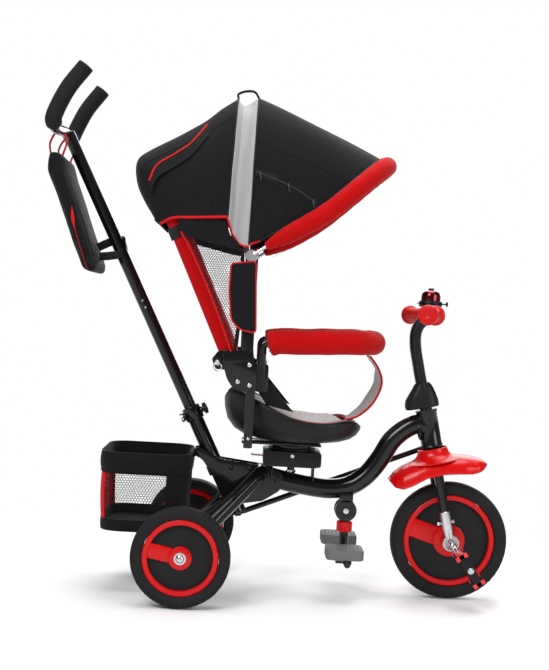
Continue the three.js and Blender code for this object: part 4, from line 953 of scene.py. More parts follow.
piece("turning_plate", together(
    lathe([(0, 306.5), (47, 306.5), (47, 312.5), (0, 312.5)], (215, 0, 0), (0, 0, 1), 64, False),
    plate(rounded([(107, 312), (275, 312), (275, 317), (107, 317)], 2), -45, 45),
    plate(rounded([(111, 312), (129, 312), (129, 317), (111, 317)], 2), -136, 136),
    lathe([(0, 256), (8, 256), (8, 308), (0, 308)], (215, 0, 0), (0, 0, 1), 32, False),
), "seat", *PAINT, "seat_plate", bevel=0.5)

# ---- Seat shell ----------------------------------------------------------------------------------
# A deep moulded bucket in fine-grained black plastic, high at the back and dished to the
# front, with a rolled rim.
SHELL_TOP = [(66, 410), (74, 423), (84, 427), (104, 421), (145, 403), (175, 390), (203, 378), (235, 371),
             (265, 368), (295, 370),
             (325, 375), (345, 372), (358, 362)]


def shell_ring(inset, drop, centre, half_length, half_width, floor=None):
    """A ring of the bucket, raised towards its rim by inset or lowered from it by drop."""
    ring = []
    for step in range(96):
        angle = 2 * math.pi * step / 96
        cx, sx = math.cos(angle), math.sin(angle)
        rim_x = 212 + 146 * math.copysign(abs(cx) ** 0.86, cx)
        rim = level_at(SHELL_TOP, rim_x)
        x = centre + half_length * math.copysign(abs(cx) ** 0.86, cx)
        y = half_width * math.copysign(abs(sx) ** 0.86, sx)
        base = rim if floor is None else floor + (rim - floor) * inset
        ring.append((x, y, base - drop))
    return ring


shell = loft([
    shell_ring(0, 1, 216, 50, 62, 322), shell_ring(0.03, 0, 216, 78, 84, 321),
    shell_ring(0.10, 0, 215, 104, 104, 321),
    shell_ring(0.24, 0, 213, 124, 118, 321), shell_ring(0.46, 0, 212, 138, 126, 321),
    shell_ring(0.72, 0, 212, 144.5, 129.5, 321),
    shell_ring(0, 8, 212, 146, 130), shell_ring(0, 3, 212, 145.5, 130), shell_ring(0, 0, 212, 141.5, 127),
    shell_ring(0, 0, 212, 137, 123), shell_ring(0, 4, 212, 132.5, 119.5), shell_ring(0, 12, 211, 128, 116),
    shell_ring(0.3, 0, 208, 112, 104, 345), shell_ring(0.05, 0, 206, 86, 84, 341),
    shell_ring(0, 2, 204, 40, 44, 340),
])
piece("seat_bucket", shell, "seat", *PLASTIC, "seat_shell", crisp=60)

# ---- Side frames, hinge plates and pull pins -----------------------------------------------------
# A flat steel bar up each side of the seat carries the canopy pivot. A quarter-round plate
# joins it to the backrest and to the safety bar's socket; a sprung pin locks the recline.
SIDE_IN, SIDE_OUT = 136.3, 141.9
PIVOT, RECLINE = bench("brim_fold")[0], bench("recline")[0]
side_outline = rounded([(111, 312), (129, 312), (129, 440), (121, 470), (121, 713), (95, 713), (95, 500),
                        (111, 430)], 6)
hinge_outline = rounded([(60, 509), (122, 509), (124, 484), (154, 484), (154, 428), (126, 428), (99, 426),
                         (82, 434), (70, 452), (62, 478)], 7)
for side, label in SIDES:
    def outward(a, b):
        return (side * a, side * b) if side > 0 else (side * b, side * a)

    piece("side_bar_" + label, plate(side_outline, *outward(SIDE_IN, SIDE_OUT)), "seat", *PAINT,
          "side_frame_" + label, bevel=1.4)
    socket = lathe([(9.8, 433), (12.8, 433), (13.4, 436), (13.4, 478), (12.8, 484), (9.8, 484)],
                   (139, side * (SIDE_OUT - 5), 0), (0, 0, 1), 40)
    foot = lathe([(0, 428), (12.4, 428), (13, 429.4), (13, 434), (0, 434)], (139, side * (SIDE_OUT - 5), 0),
                 (0, 0, 1), 40, False)
    piece("hinge_quadrant_" + label, plate(hinge_outline, *outward(SIDE_OUT + 0.4, SIDE_OUT + 4.4)), "seat", *PAINT,
          "hinge_plate_" + label, bevel=0.9)
    piece("bar_socket_" + label, together(socket, foot), "seat", *PLASTIC, bevel=0.6)
    screws("hinge_bolts_" + label, [(115, side * (SIDE_OUT + 4.4), 481), (117, side * (SIDE_OUT + 4.4), 440),
                                    (93, side * (SIDE_OUT + 4.4), 446)],
           4.8, 3, (0, side, 0), "seat", *STEEL)
    screws("upright_bolts_" + label, [(108, side * (SIDE_OUT + 0.2), 640), (120, side * (SIDE_OUT + 0.2), 332)],
           3.6, 2.2, (0, side, 0), "seat", *STEEL)

# ---- Backrest ------------------------------------------------------------------------------------
# A steel frame of two rails leans back from the recline pivots. Its cushion is a stuffed red
# panel, sewn in channels, with piped bolsters that wrap the rails.
RECLINE_TILT = math.radians(25.1)
BACK_UP = Vector((-math.sin(RECLINE_TILT), 0, math.cos(RECLINE_TILT)))
BACK_AHEAD = Vector((math.cos(RECLINE_TILT), 0, math.sin(RECLINE_TILT)))
BACK_RAIL_Y = 124


def on_back(ahead, y, up):
    """A point measured along the reclined backrest from its pivot."""
    return RECLINE + BACK_AHEAD * ahead + BACK_UP * up + Vector((0, y, 0))


back_parts = [straight(on_back(0, -BACK_RAIL_Y, 338), on_back(0, BACK_RAIL_Y, 338), 8.6),
              straight(on_back(0, -BACK_RAIL_Y, 62), on_back(0, BACK_RAIL_Y, 62), 7)]
for side in (-1, 1):
    back_parts.append(straight(on_back(0, side * BACK_RAIL_Y, 30), on_back(0, side * BACK_RAIL_Y, 350), 9))
    ear = rounded([(-12, -8), (-6, -14), (6, -14), (12, -8), (12, 72), (-14, 72), (-32, 62), (-32, 40), (-12, 30)],
                  4)
    inner, outer = side * 129.5, side * 135.4
    turned_ear = plate(ear, min(inner, outer), max(inner, outer))
    back_parts.append(([tuple(on_back(a, y, up)) for a, y, up in turned_ear[0]], turned_ear[1]))
piece("back_rails", together(*back_parts), "backrest", *PAINT, "back_frame", bevel=0.6)
for side, label in SIDES:
    pin = [on_back(-24, side * y, 51) for y in (125.5, 147.5)]
    ring_line = [on_back(-26 + 8 * math.cos(a), side * 148.5, 43 + 8 * math.sin(a))
                 for a in np.linspace(0, 2 * math.pi, 33)[:-1]]
    piece("pull_pin_steel_" + label, together(
        straight(pin[0], pin[1], 3, 20), lathe([(0, 136.6), (5.2, 136.6), (5.5, 137.4), (5.5, 148.6), (4.6, 149.4),
                                                (0, 149.4)],
                                               on_back(-24, 0, 51), (0, side, 0), 28, False),
        tube(ring_line, 1.3, 12, closed=True)), "pull_pin_" + label, *STEEL, "pull_pin_" + label)


def weave(made, thread, depth, colour, other):
    """Plain weave, thread millimetres from thread to thread, read on Object coordinates."""
    place = node(made, "ShaderNodeTexCoord")
    waves = []
    for way in ("X", "Y", "Z"):
        waves.append(node(made, "ShaderNodeTexWave", [("Vector", place, "Object")], bands_direction=way,
                          Scale=0.314 / (thread * MM),
                          Distortion=0.6))
    first = node(made, "ShaderNodeMath", [(0, waves[0], "Fac"), (1, waves[1], "Fac")], operation="MULTIPLY")
    both = node(made, "ShaderNodeMath", [(0, first, "Value"), (1, waves[2], "Fac")], operation="ADD")
    crease = node(made, "ShaderNodeTexNoise", [("Vector", place, "Object")], Scale=14, Detail=3.0)
    height = node(made, "ShaderNodeMath", [(0, crease, "Fac"), (2, both, "Value")], operation="MULTIPLY_ADD")
    height.inputs[1].default_value = 14.0
    bump = node(made, "ShaderNodeBump", [("Height", height, "Value")], Strength=0.5, Distance=depth * MM)
    tint = node(made, "ShaderNodeMix", [("Factor", both, "Value")], data_type="RGBA")
    tint.inputs["A"].default_value = (*colour, 1)
    tint.inputs["B"].default_value = (*other, 1)
    skin = made.node_tree.nodes["Principled BSDF"]
    made.node_tree.links.new(tint.outputs["Result"], skin.inputs["Base Color"])
    made.node_tree.links.new(bump.outputs["Normal"], skin.inputs["Normal"])
    return made


def knit(made, pitch, depth, colour, other):
    """Air-mesh knit: close round cells, pitch millimetres apart."""
    place = node(made, "ShaderNodeTexCoord")
    cells = node(made, "ShaderNodeTexVoronoi", [("Vector", place, "Object")], Scale=1 / (pitch * MM),
                 Randomness=0.15)
    cloud = node(made, "ShaderNodeTexNoise", [("Vector", place, "Object")], Scale=10, Detail=2.0)
    share = node(made, "ShaderNodeMath", [(0, cells, "Distance"), (1, cloud, "Fac")], operation="MULTIPLY")
    tint = node(made, "ShaderNodeMix", [("Factor", share, "Value")], data_type="RGBA")
    tint.inputs["A"].default_value = (*other, 1)
    tint.inputs["B"].default_value = (*colour, 1)
    bump = node(made, "ShaderNodeBump", [("Height", cells, "Distance")], Strength=0.6, Distance=depth * MM)
    skin = made.node_tree.nodes["Principled BSDF"]
    made.node_tree.links.new(tint.outputs["Result"], skin.inputs["Base Color"])
    made.node_tree.links.new(bump.outputs["Normal"], skin.inputs["Normal"])
    return made


red_knit = knit(material("red_knit", (0.42, 0.001, 0.003), 0.85, sheen=0.06, shine=0.1), 2.4, 0.9,
                (0.66, 0.0012, 0.0034), (0.34, 0.0006, 0.0018))
KNIT = (red_knit, "red_cloth")
red_cloth = weave(material("red_cloth", (0.46, 0.0012, 0.0030), 0.8, sheen=0.05, shine=0.12), 1.1, 0.25,
                  (0.64, 0.0014, 0.0036), (0.52, 0.0010, 0.0028))
RED_CLOTH = (red_cloth, "red_cloth")
piping_red = weave(material("piping_red", (0.56, 0.0020, 0.0040), 0.6, shine=0.2), 0.9, 0.2, (0.62, 0.0024, 0.0044),
                   (0.50, 0.0016, 0.0030))
PIPING = (piping_red, "red_cloth")


def swell(name, shape, voxel, pressure, cap, body, made_of, slot, replaces=(), fill=0.6):
    """Stuffs a closed form: even remesh, cloth under pressure, no point moved past cap, smoothed."""
    made = piece(name, shape, None, made_of, slot)
    even = made.modifiers.new("even", "REMESH")
    even.mode = "VOXEL"
    even.voxel_size = voxel * MM
    settle(made, None, made_of)
    before = np.array([v.co for v in made.data.vertices])
    cloth = made.modifiers.new("cloth", "CLOTH")
    cloth.settings.use_pressure = True
    cloth.settings.uniform_pressure_force = pressure
    cloth.settings.effector_weights.gravity = 0
    cloth.settings.mass = 0.3
    cloth.settings.tension_stiffness = cloth.settings.compression_stiffness = 12
    for step in range(1, 21):
        bpy.context.scene.frame_set(step)
    graph = bpy.context.evaluated_depsgraph_get()
    after = np.array([v.co for v in made.evaluated_get(graph).data.vertices])
    move = after - before
    far = np.linalg.norm(move, axis=1, keepdims=True)
    move *= np.minimum(1, cap * MM / np.maximum(far, 1e-9))
    made.modifiers.clear()
    made.data.vertices.foreach_set("co", (before + move).ravel())
    bpy.context.scene.frame_set(1)
    fine = made.modifiers.new("fine", "SUBSURF")
    fine.levels = fine.render_levels = 1
    settle(made, body, made_of, replaces, 180)
    return made


def cushion_between(outline, thick, inset=4):
    """A closed form from an outline of points: its middle raised on both sides."""
    middle = sum((Vector(p) for p in outline), Vector()) / len(outline)
    normal = (Vector(outline[len(outline) // 4]) - Vector(outline[0])).cross(Vector(outline[len(outline) // 2])
        - Vector(outline[0])).normalized()
    rings = []
    for share, rise in ((0.0, 0.5), (0.45, 0.5), (0.8, 0.46), (0.95, 0.34), (1.0, 0.0), (0.95, -0.34), (0.8, -0.46),
                        (0.45, -0.5), (0.0, -0.5)):
        share = max(share, 0.02)
        rings.append([tuple(middle + (Vector(p) - middle) * share + normal * thick * rise) for p in outline])
    return loft(rings)


def cut_cloth(made, point):
    """Takes a sheet whose face is point(u, v), samples that face on a grid and gives the sheet back unchanged."""
    face = [[Vector(point(i / 40, j / 40)) for i in range(41)] for j in range(41)]
    return made


def cut_flat(made):
    """Gives a flat sheet cut to an outline back unchanged."""
    return made


panel = []
for y, up in rounded([(-112, 36), (112, 36), (112, 352), (-112, 352)], 26, 6):
    panel.append(on_back(8, y, up))
swell("backrest_cushion", cushion_between([p for a, b in zip(panel, panel[1:] + panel[:1])
                                           for p in (a, (a + b) / 2)], 22), 5, 4, 5,
      "backrest", *RED_CLOTH, "back_pad", 0.6)
for y in (-56, 0, 56):
    row(f"back_stitches_{y + 56}", [on_back(20, y, up) for up in range(60, 336, 12)], block(0.7, 0.9, 3.4), 5.2,
        (0, 1, 0),
        "backrest", *PIPING)
for side, label in SIDES:
    def bolster(u, v, side=side):
        up = 26 + 330 * v
        swing = 2 * math.pi * u
        depth = 15.5 - 3 * v
        return on_back(4 - 3 * v + (depth + 2) * math.cos(swing), side * (BACK_RAIL_Y + 1) + 11.6 * math.sin(swing),
                       up)

    wrap = grid(bolster, 32, 40, True)
    wrap[1].append(list(range(32))[::-1])
    wrap[1].append([40 * 32 + i for i in range(32)])
    piece("back_bolster_" + label, wrap, "backrest", *KNIT)
    piece("bolster_piping_" + label, tube([bolster(0.11 * side % 1.0, v) for v in np.linspace(0.02, 0.98, 30)], 2.1,
                                          12),
          "backrest", *PIPING)
    piece("bolster_tab_" + label, grid(lambda u, v: on_back(19.2 * math.cos(math.pi * (u - 0.5) * 1.7),
        side * (BACK_RAIL_Y + 1 + 13 * math.sin(
        math.pi * (u - 0.5) * 1.7)), 314 + 24 * v), 16, 4), "backrest", black_plastic, "black_cloth", wall=1.0)

# ---- Safety bar ----------------------------------------------------------------------------------
# A looped bar that lifts out of its two sockets, in a thick foam sleeve with a red knitted
# cover. The black ends show behind the sleeve, and a grey press button sits on the front.
BAR_Y, BAR_Z, BAR_FRONT = 136.9, 537, 372


def bar_side(side):
    """One half of the safety bar, from its front to its socket."""
    return [(BAR_FRONT, 0, BAR_Z), (BAR_FRONT - 5, side * 70, BAR_Z), (BAR_FRONT - 38, side * (BAR_Y - 22), BAR_Z),
            (BAR_FRONT - 90, side * (BAR_Y - 4), BAR_Z - 2), (230, side * BAR_Y, BAR_Z - 5),
            (172, side * BAR_Y, BAR_Z - 7)]


bar_loop = bar_side(-1)[::-1] + bar_side(1)[1:]
bar_posts = [tube(bent([(139, side * BAR_Y, 440), (139, side * BAR_Y, BAR_Z - 9), (160, side * BAR_Y, BAR_Z - 9)],
                       14), 9, 28) for side in (-1, 1)]
piece("safety_bar_tube", together(tube(through([(150, -BAR_Y, BAR_Z - 10)] + bar_loop + [(150, BAR_Y, BAR_Z - 10)],
                                               6), 8, 24), *bar_posts),
      "safety_bar", *PAINT, "safety_bar")
sleeve_line = through([(150, -BAR_Y, 524)] + bar_loop + [(150, BAR_Y, 524)], 12)
reach_of = np.linspace(0, 1, len(sleeve_line))
sleeve_girth = [25 - 9 * max(0, 1 - t / 0.025) ** 2 - 9 * max(0, 1 - (1 - t) / 0.025) ** 2 + 0.5 * math.sin(60 * t)
                for t in reach_of]
bar_cover = tube(sleeve_line, sleeve_girth, 40)
piece("safety_bar_sleeve", bar_cover, "safety_bar", *KNIT, "safety_bar_pad", crisp=60)
under_seam = [p + Vector((0, 0, -24.6)) for p in sleeve_line[4:-4]]
row("sleeve_stitches", under_seam, block(1.1, 0.9, 3.6), 5.5, (0, 0, -1), "safety_bar", *PIPING)
grey_plastic = grain(mottle(material("grey_plastic", (0.42, 0.43, 0.42), 0.45), (0.40, 0.41, 0.40),
                            (0.47, 0.48, 0.47), 30, (0.4, 0.5)), 1200, 0.08)
piece("bar_button", lathe([(0, 23), (8, 23.4), (9, 25.4), (8, 27), (0, 27.4)], (BAR_FRONT - 28, -52, BAR_Z),
                          (0.1, -0.15, 1), 32, False), "safety_bar",
      grey_plastic, "grey_cloth")

# ---- Seat pad and crotch strap -------------------------------------------------------------------
# A light grey quilted pad lies in the bucket with red piping round its edge. Its front runs up
# as a strap to the safety bar, grey inside with red edges, between the child's legs.
grey_cloth = weave(material("grey_cloth", (0.44, 0.44, 0.43), 0.85, sheen=0.1, shine=0.12), 1.2, 0.3,
                   (0.62, 0.62, 0.61), (0.50, 0.50, 0.49))
GREY = (grey_cloth, "grey_cloth")
seat_web = weave(material("seat_webbing", (0.008, 0.008, 0.008), 0.7, shine=0.2), 2.6, 0.5, (0.010, 0.010, 0.010),
                 (0.004, 0.004, 0.004))
PAD_TOP = [(92, 418), (112, 411), (160, 386), (214, 369), (270, 364), (318, 370), (332, 373)]


def pad_edge(share, rise):
    """A ring of the seat pad, share of its size and rise above its top."""
    ring = []
    for step in range(72):
        angle = 2 * math.pi * step / 72
        cx, sx = math.cos(angle), math.sin(angle)
        x = 212 + 116 * share * math.copysign(abs(cx) ** 0.8, cx)
        y = 104 * share * math.copysign(abs(sx) ** 0.8, sx)
        ring.append((x, y, level_at(PAD_TOP, x) + rise))
    return ring


pad_form = loft([pad_edge(s, r) for s, r in (
    (0.02, -15), (0.5, -15), (0.85, -14), (0.97, -10), (1.0, -5), (0.97, 1), (0.85, 5), (0.5, 6), (0.02, 6))])
swell("seat_cushion", pad_form, 5, 4, 5, "seat", *GREY, "seat_pad", 0.6)
piece("seat_pad_piping", tube(through(pad_edge(1.0, 1)[::4], 4, closed=True), 2.4, 12, closed=True), "seat",
      *PIPING)
for span in (-46, 46):
    row(f"seat_stitches_{span + 46}", [(x, span, level_at(PAD_TOP, x) + 11.5) for x in range(124, 306, 8)],
        block(0.8, 0.8, 3.2), 5.0, (0, 0, 1),
        "seat", *GREY)
strap_centre = through([(326, 0, 373), (350, 0, 382), (379, 0, 409), (396, 0, 452), (388, 0, 481), (368, 0, 508)],
                       10)
strap_half = [40 - 12 * math.sin(math.pi * t) for t in np.linspace(0, 1, len(strap_centre))]


def strap_point(u, v):
    """The crotch strap at u across it and v up it."""
    i = min(int(v * (len(strap_centre) - 1)), len(strap_centre) - 2)
    part = v * (len(strap_centre) - 1) - i
    middle = strap_centre[i].lerp(strap_centre[i + 1], part)
    half = strap_half[i] * (1 - part) + strap_half[i + 1] * part
    ripple = 0.8 * math.sin(25 * v) * math.cos(math.pi * (u - 0.5))
    bow = 17 * math.sin(math.pi * min(v * 1.15, 1)) * math.sin(math.pi * u) ** 1.4
    return middle + Vector((ripple - bow, half * (2 * u - 1), 0.35 * bow * (1 - v)))


def seat_to_bar(made):
    """Bakes the placement into the mesh of a piece that runs from the seat at its foot to the safety bar at its
    top.
    """
    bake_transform(made)


strap = piece("crotch_panel", grid(strap_point, 16, 50), None, *GREY, wall=3.2)
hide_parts("crotch_strap")
cut_cloth(strap, strap_point)
seat_to_bar(strap)
for side, label in SIDES:
    web = lambda u, v, side=side: Vector((120 + 36 * u + 34 * v + 20 * u * v,
                                          side * (128 - 14 * v - 3 * math.sin(math.pi * v)),
                                          448 - 48 * v - 12 * u * v))
    cut_cloth(piece("seat_webbing_" + label, grid(web, 8, 12), "seat", seat_web, "black_cloth", wall=1.8), web)
for u, label in ((0.0, "right"), (1.0, "left")):
    edge_tape = piece("crotch_piping_" + label, tube([strap_point(u, v) for v in np.linspace(0, 1, 60)], 2.3, 12),
                      None, *PIPING)
    seat_to_bar(edge_tape)

# ---- Canopy bows and brim ------------------------------------------------------------------------
# Thin steel bows spread the hood. The front one is a brim loop in a thick red knitted sleeve,
# and it turns on two round pivots that sit on the uprights.
black_cloth = weave(material("black_cloth", (0.016, 0.016, 0.018), 0.8, sheen=0.04, shine=0.14), 0.9, 0.2,
                    (0.008, 0.008, 0.009), (0.004, 0.004, 0.005))
CLOTH = (black_cloth, "black_cloth")
webbing = weave(material("webbing", (0.012, 0.012, 0.013), 0.7, shine=0.25), 2.6, 0.5, (0.009, 0.009, 0.010),
                (0.003, 0.003, 0.004))
WEBBING = (webbing, "black_cloth")
BRIM_TILT = math.radians(37)
BRIM_OUT = Vector((math.cos(BRIM_TILT), 0, math.sin(BRIM_TILT)))
BRIM_OFF = Vector((-math.sin(BRIM_TILT), 0, math.cos(BRIM_TILT)))


def on_brim(reach, y, off=0.0):
    """A point measured along the brim from its pivot."""
    return PIVOT + BRIM_OUT * reach + BRIM_OFF * off + Vector((0, y, 0))


def brim_point(reach, y):
    """A point of the brim's loop, which dips a little between its pivots and its front."""
    return on_brim(reach, y, -BRIM_DIP * math.sin(math.pi * reach / BRIM_LENGTH) ** 2)


BRIM_LENGTH, BRIM_DIP = 344, 13
BRIM_SIDE = [(34, 147), (62, 150), (100, 150), (174, 150), (260, 140), (314, 108), (339, 62)]
brim_line = [brim_point(reach, -y) for reach, y in BRIM_SIDE] + [on_brim(BRIM_LENGTH, 0)]
brim_line += [brim_point(reach, y) for reach, y in BRIM_SIDE[::-1]]
brim_bow_line = [on_brim(4, -146.4)] + brim_line + [on_brim(4, 146.4)]
piece("brim_wire", together(
    tube(through(brim_bow_line, 6), 3.5, 14),
    *[lathe([(0, 142.6), (12.2, 142.6), (13, 143.4), (13, 146), (12, 146.9), (0, 146.9)], PIVOT, (0, side, 0), 40,
            False) for side in (-1, 1)]),
    "brim", *STEEL, "brim_bow")
brim_path = through(brim_line, 10)
brim_count = len(brim_path) - 1
brim_girth = [19.4 - 12 * max(0, 1 - min(i, brim_count - i) / 22) ** 1.5 + 0.3 * math.sin(1.3 * i)
              for i in range(brim_count + 1)]
piece("brim_sleeve", tube(brim_path, brim_girth, 36), "brim", *KNIT, "brim_pad", crisp=60)
row("brim_stitches", [p - BRIM_OFF * 17.2 for p in brim_path[5:-5]], block(1.0, 0.8, 3.4), 5.2, tuple(-BRIM_OFF),
    "brim", *PIPING)

# ---- Hoods ---------------------------------------------------------------------------------------
# Coated black cloth panels fan out from the uprights over the bows, with soft folds where the cloth is slack. The
# front hood is shaped to run from the middle bow to the brim, and the rear one arches back towards the backrest.
SECTION, HOOD_HALF = 2.9, 150.5


def fan_panel(edge, crown, half, droop, ripple, out=0.0):
    """edge and crown give the side point and top point at t; the section between is a soft arch."""
    def point(u, v):
        swing = math.pi * u
        low, high = edge(v), crown(v)
        rise = abs(math.sin(swing)) ** (2 / SECTION)
        across = math.copysign(abs(math.cos(swing)) ** (2 / SECTION), -math.cos(swing))
        body = low.lerp(high, rise)
        slack = droop * math.sin(math.pi * v) * (0.35 + 0.65 * rise)
        fold = ripple * math.sin(math.pi * v) * math.sin(9 * swing + 5 * v) * math.sin(swing)
        normal = (high - low).normalized()
        return Vector((body.x - normal.x * (slack + fold),
                       across * (half(v) + out) * (1 - 0.006 * math.sin(12 * v + 7 * swing) ** 2),
                       body.z - normal.z * (slack + fold)))
    return point


def evenly(line):
    """A function of 0 to 1 by length along a line of points."""
    lengths = np.concatenate(([0], np.cumsum([(b - a).length for a, b in zip(line, line[1:])])))

    def at(share):
        d = min(max(share, 0), 1) * lengths[-1]
        i = min(max(int(np.searchsorted(lengths, d, "right")) - 1, 0), len(line) - 2)
        return line[i].lerp(line[i + 1], (d - lengths[i]) / (lengths[i + 1] - lengths[i]))
    return at


def along_line(points):
    """A function of 0 to 1 along a smooth line of (x, z) points."""
    return evenly(through([(x, 0, z) for x, z in points], 12))


bow_panel = fan_panel(along_line([(101, 722), (110, 726)]), along_line([(105, 1037), (180, 1015)]),
                      lambda v: HOOD_HALF, 0, 0)
bow_arch = evenly([bow_panel(u, 0) for u in np.linspace(0, 1, 160)])
brim_arch = evenly([p + BRIM_OFF * 15 + Vector((-3, 0, 0)) for p in brim_path])


def front_hood(u, v):
    """The front hood between the middle bow and the brim."""
    low, high = bow_arch(u), brim_arch(u)
    fold = 2.4 * math.sin(math.pi * v) * math.sin(11 * math.pi * u + 4 * v) * math.sin(math.pi * u)
    here = low.lerp(high, v)
    return here + Vector((0, 0.02 * here.y * math.sin(math.pi * v),
                          5 * math.sin(math.pi * v) * math.sin(math.pi * u) + fold))


wire_line = [Vector((p.x - 1, p.y * 0.955, p.z - 6 * max(0, (p.z - 722) / 300)))
             for p in (bow_arch(u) for u in np.linspace(0.0, 1, 80))]
piece("middle_wire", tube(wire_line, 3.2, 14), "seat", *STEEL, "canopy_bow")
rear_edge = along_line([(55, 776), (-10, 772), (-57, 768), (-81, 755)])
rear_crown = along_line([(62, 1032), (28, 1009), (-1, 985), (-50, 955), (-121, 913), (-140, 897), (-145, 878),
                         (-138, 838), (-118, 800), (-95, 768)])
rear_hood = fan_panel(rear_edge, rear_crown, lambda v: HOOD_HALF - 14 * v ** 3, 1.5, 1.6)
gusset_edge = along_line([(54, 776), (66, 744), (84, 722), (101, 718)])
gusset_crown = along_line([(60, 1032), (76, 1020), (92, 1026), (106, 1037)])
gusset = fan_panel(gusset_edge, gusset_crown, lambda v: 151 - 11 * math.sin(math.pi * v) ** 2
                   + 4 * math.sin(3 * math.pi * v) ** 2, 0, 3.0)


def seat_to_brim(made, replaces=None):
    """Hides the CAD node it replaces, if one is given, and bakes the placement into the mesh of a piece that meets
    the seat at its rear and the brim at its front.
    """
    if replaces:
        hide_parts(replaces)
    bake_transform(made)
    return made


def seat_to_back(made, replaces=None):
    """Hides the CAD node it replaces, if one is given, and bakes the placement into the mesh of a piece that meets
    the seat at its front and the backrest at its rear.
    """
    if replaces:
        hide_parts(replaces)
    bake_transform(made)
    return made


hood_front = seat_to_brim(piece("hood_front", grid(front_hood, 72, 60), None, *CLOTH, wall=1.2), "canopy_front")
hood_rear = seat_to_back(piece("hood_rear", grid(rear_hood, 72, 84), None, *CLOTH, wall=1.2), "canopy_rear")
grey_lining = weave(material("grey_lining", (0.36, 0.36, 0.36), 0.8, sheen=0.05, shine=0.12), 0.9, 0.2,
                    (0.39, 0.39, 0.39), (0.33, 0.33, 0.33))
hood_gusset = piece("hood_gusset", grid(gusset, 72, 14), "seat", grey_lining, "grey_cloth", wall=1.2)
cut_cloth(hood_front, front_hood)
cut_cloth(hood_rear, rear_hood)
cut_cloth(hood_gusset, gusset)


def seam(name, point, us, vs, lift, radius, made_of, slot, join):
    """A cord that follows a panel from one (u, v) place to another, lifted off its face."""
    line = []
    for share in np.linspace(0, 1, 72):
        u, v = us[0] + (us[1] - us[0]) * share, vs[0] + (vs[1] - vs[0]) * share
        here = point(u, v)
        du = point(min(u + 0.01, 1), v) - point(max(u - 0.01, 0), v)
        dv = point(u, min(v + 0.01, 1)) - point(u, max(v - 0.01, 0))
        normal = du.cross(dv)
        normal = normal.normalized() if normal.length > 1e-6 else Vector((0, 0, 1))
        if normal.dot(here - Vector((60, 0, 800))) < 0:
            normal = -normal
        line.append(here + normal * lift)
    return join(piece(name, tube(line, radius, 10), None, made_of, slot))


for label, u in (("right", 0.0), ("left", 1.0)):
    gusset_hem = [gusset(u, v) for v in np.linspace(0, 1, 24)]
    piece("gusset_piping_" + label, tube(gusset_hem, 2.0, 10), "seat", *PIPING)
    seam("rear_edge_piping_" + label, rear_hood, (u, u), (0, 1), 0.5, 3.0, *PIPING, seat_to_back)
    seam("front_edge_piping_" + label, front_hood, (u, u), (0, 1), 0.5, 2.0, *PIPING, seat_to_brim)
seam("rear_bow_binding", rear_hood, (0, 1), (0.0, 0.0), 0.8, 2.2, *WEBBING, seat_to_back)
seam("back_hem_binding", rear_hood, (0, 1), (1.0, 1.0), 0.8, 2.4, *WEBBING, seat_to_back)
seam("front_bow_binding", front_hood, (0, 1), (0.0, 0.0), 0.8, 2.2, *WEBBING, seat_to_brim)
seam("brim_edge_binding", front_hood, (0, 1), (0.995, 0.995), 1.0, 2.8, *WEBBING, seat_to_brim)
for part, hood, join in (("front", front_hood, seat_to_brim), ("rear", rear_hood, seat_to_back)):
    for label, u in (("right", 0.27), ("left", 0.73)):
        seam(f"{part}_seam_{label}", hood, (u, u), (0, 1), 0.2, 1.2, *CLOTH, join)

# ---- Hood trim: loop, vents, zips ----------------------------------------------------------------
# A webbing loop on the crown, a roll-up vent with red piping at the back of each side, and a
# zip with metal pulls along each side of the front hood.
zip_plastic = mottle(material("zip_teeth", (0.02, 0.02, 0.022), 0.35), (0.02, 0.02, 0.022), (0.035, 0.035, 0.04),
                     40, (0.3, 0.45))
piece("crown_loop", tube(through([(62, 0, 1037), (60, 0, 1046), (76, 0, 1054), (96, 0, 1053), (106, 0, 1037)], 8),
                         2.4, 12, flat=3.4, side=(0, 1, 0)),
      "seat", *WEBBING)


HOOD_CROWN = [(-145, 890), (-121, 915), (-50, 956), (-1, 984), (28, 1011), (60, 1037), (105, 1037), (180, 1015),
              (250, 985), (320, 955), (366, 934)]
HOOD_BASE = 745


def on_side(x, z, side, out=0.0):
    """The place on the hood's side at (x, z), found from the arch's own height there."""
    top = level_at(HOOD_CROWN, x)
    rise = min(max((z - HOOD_BASE) / max(top - HOOD_BASE, 1), 0), 0.98)
    half = HOOD_HALF * (1 - rise ** SECTION) ** (1 / SECTION)
    return Vector((x, side * (half + out), z))


def ribbon(line, side, *edges):
    """A strip on the hood's side along a line; its two edges lie (ahead, up, out) from it."""
    points = [tuple(on_side(p.x + ahead, p.z + up, side, out)) for p in line for ahead, up, out in edges]
    return points, [[i, i + 1, i + 3, i + 2] for i in range(0, len(points) - 2, 2)]


for side, label in SIDES:
    vent = through([(3, 0, 967), (-29, 0, 923), (-56, 0, 901), (-94, 0, 873), (-107, 0, 840)], 10)
    vent_cord = tube([on_side(p.x, p.z, side, 2.2) for p in vent], 2.0, 10)
    seat_to_back(piece("vent_piping_" + label, vent_cord, None, *PIPING))
    flap = ribbon(vent, side, (0, 0, 1.8), (4, -26, 3.6))
    seat_to_back(piece("vent_flap_" + label, flap, None, *CLOTH, wall=1.4))
    arc = through([(106, 0, 870), (150, 0, 856), (196, 0, 836), (232, 0, 812)], 14)
    tape = ribbon(arc, side, (0, 8, 1.6), (0, -8, 1.6))
    seat_to_brim(piece("zip_tape_" + label, tape, None, *WEBBING, wall=0.8))
    teeth_line = [on_side(p.x, p.z, side, 2.4) for p in arc]
    seat_to_brim(piece("zip_chain_" + label, tube(teeth_line, 1.4, 8), None, zip_plastic, "black_plastic"))
    for number, i in enumerate((3, len(arc) // 2, len(arc) - 4)):
        at = on_side(arc[i].x, arc[i].z, side, 4.2)
        pull = tube([at + Vector((0, 0, 3)), at + Vector((2, side * 1.5, -9)), at + Vector((3, side * 2.0, -14))],
                    [2.0, 1.4, 1.8], 12, flat=0.5, side=(0, side, 0))
        seat_to_brim(piece(f"zip_pull_{label}_{number}", pull, None, zip_plastic, "black_plastic"))

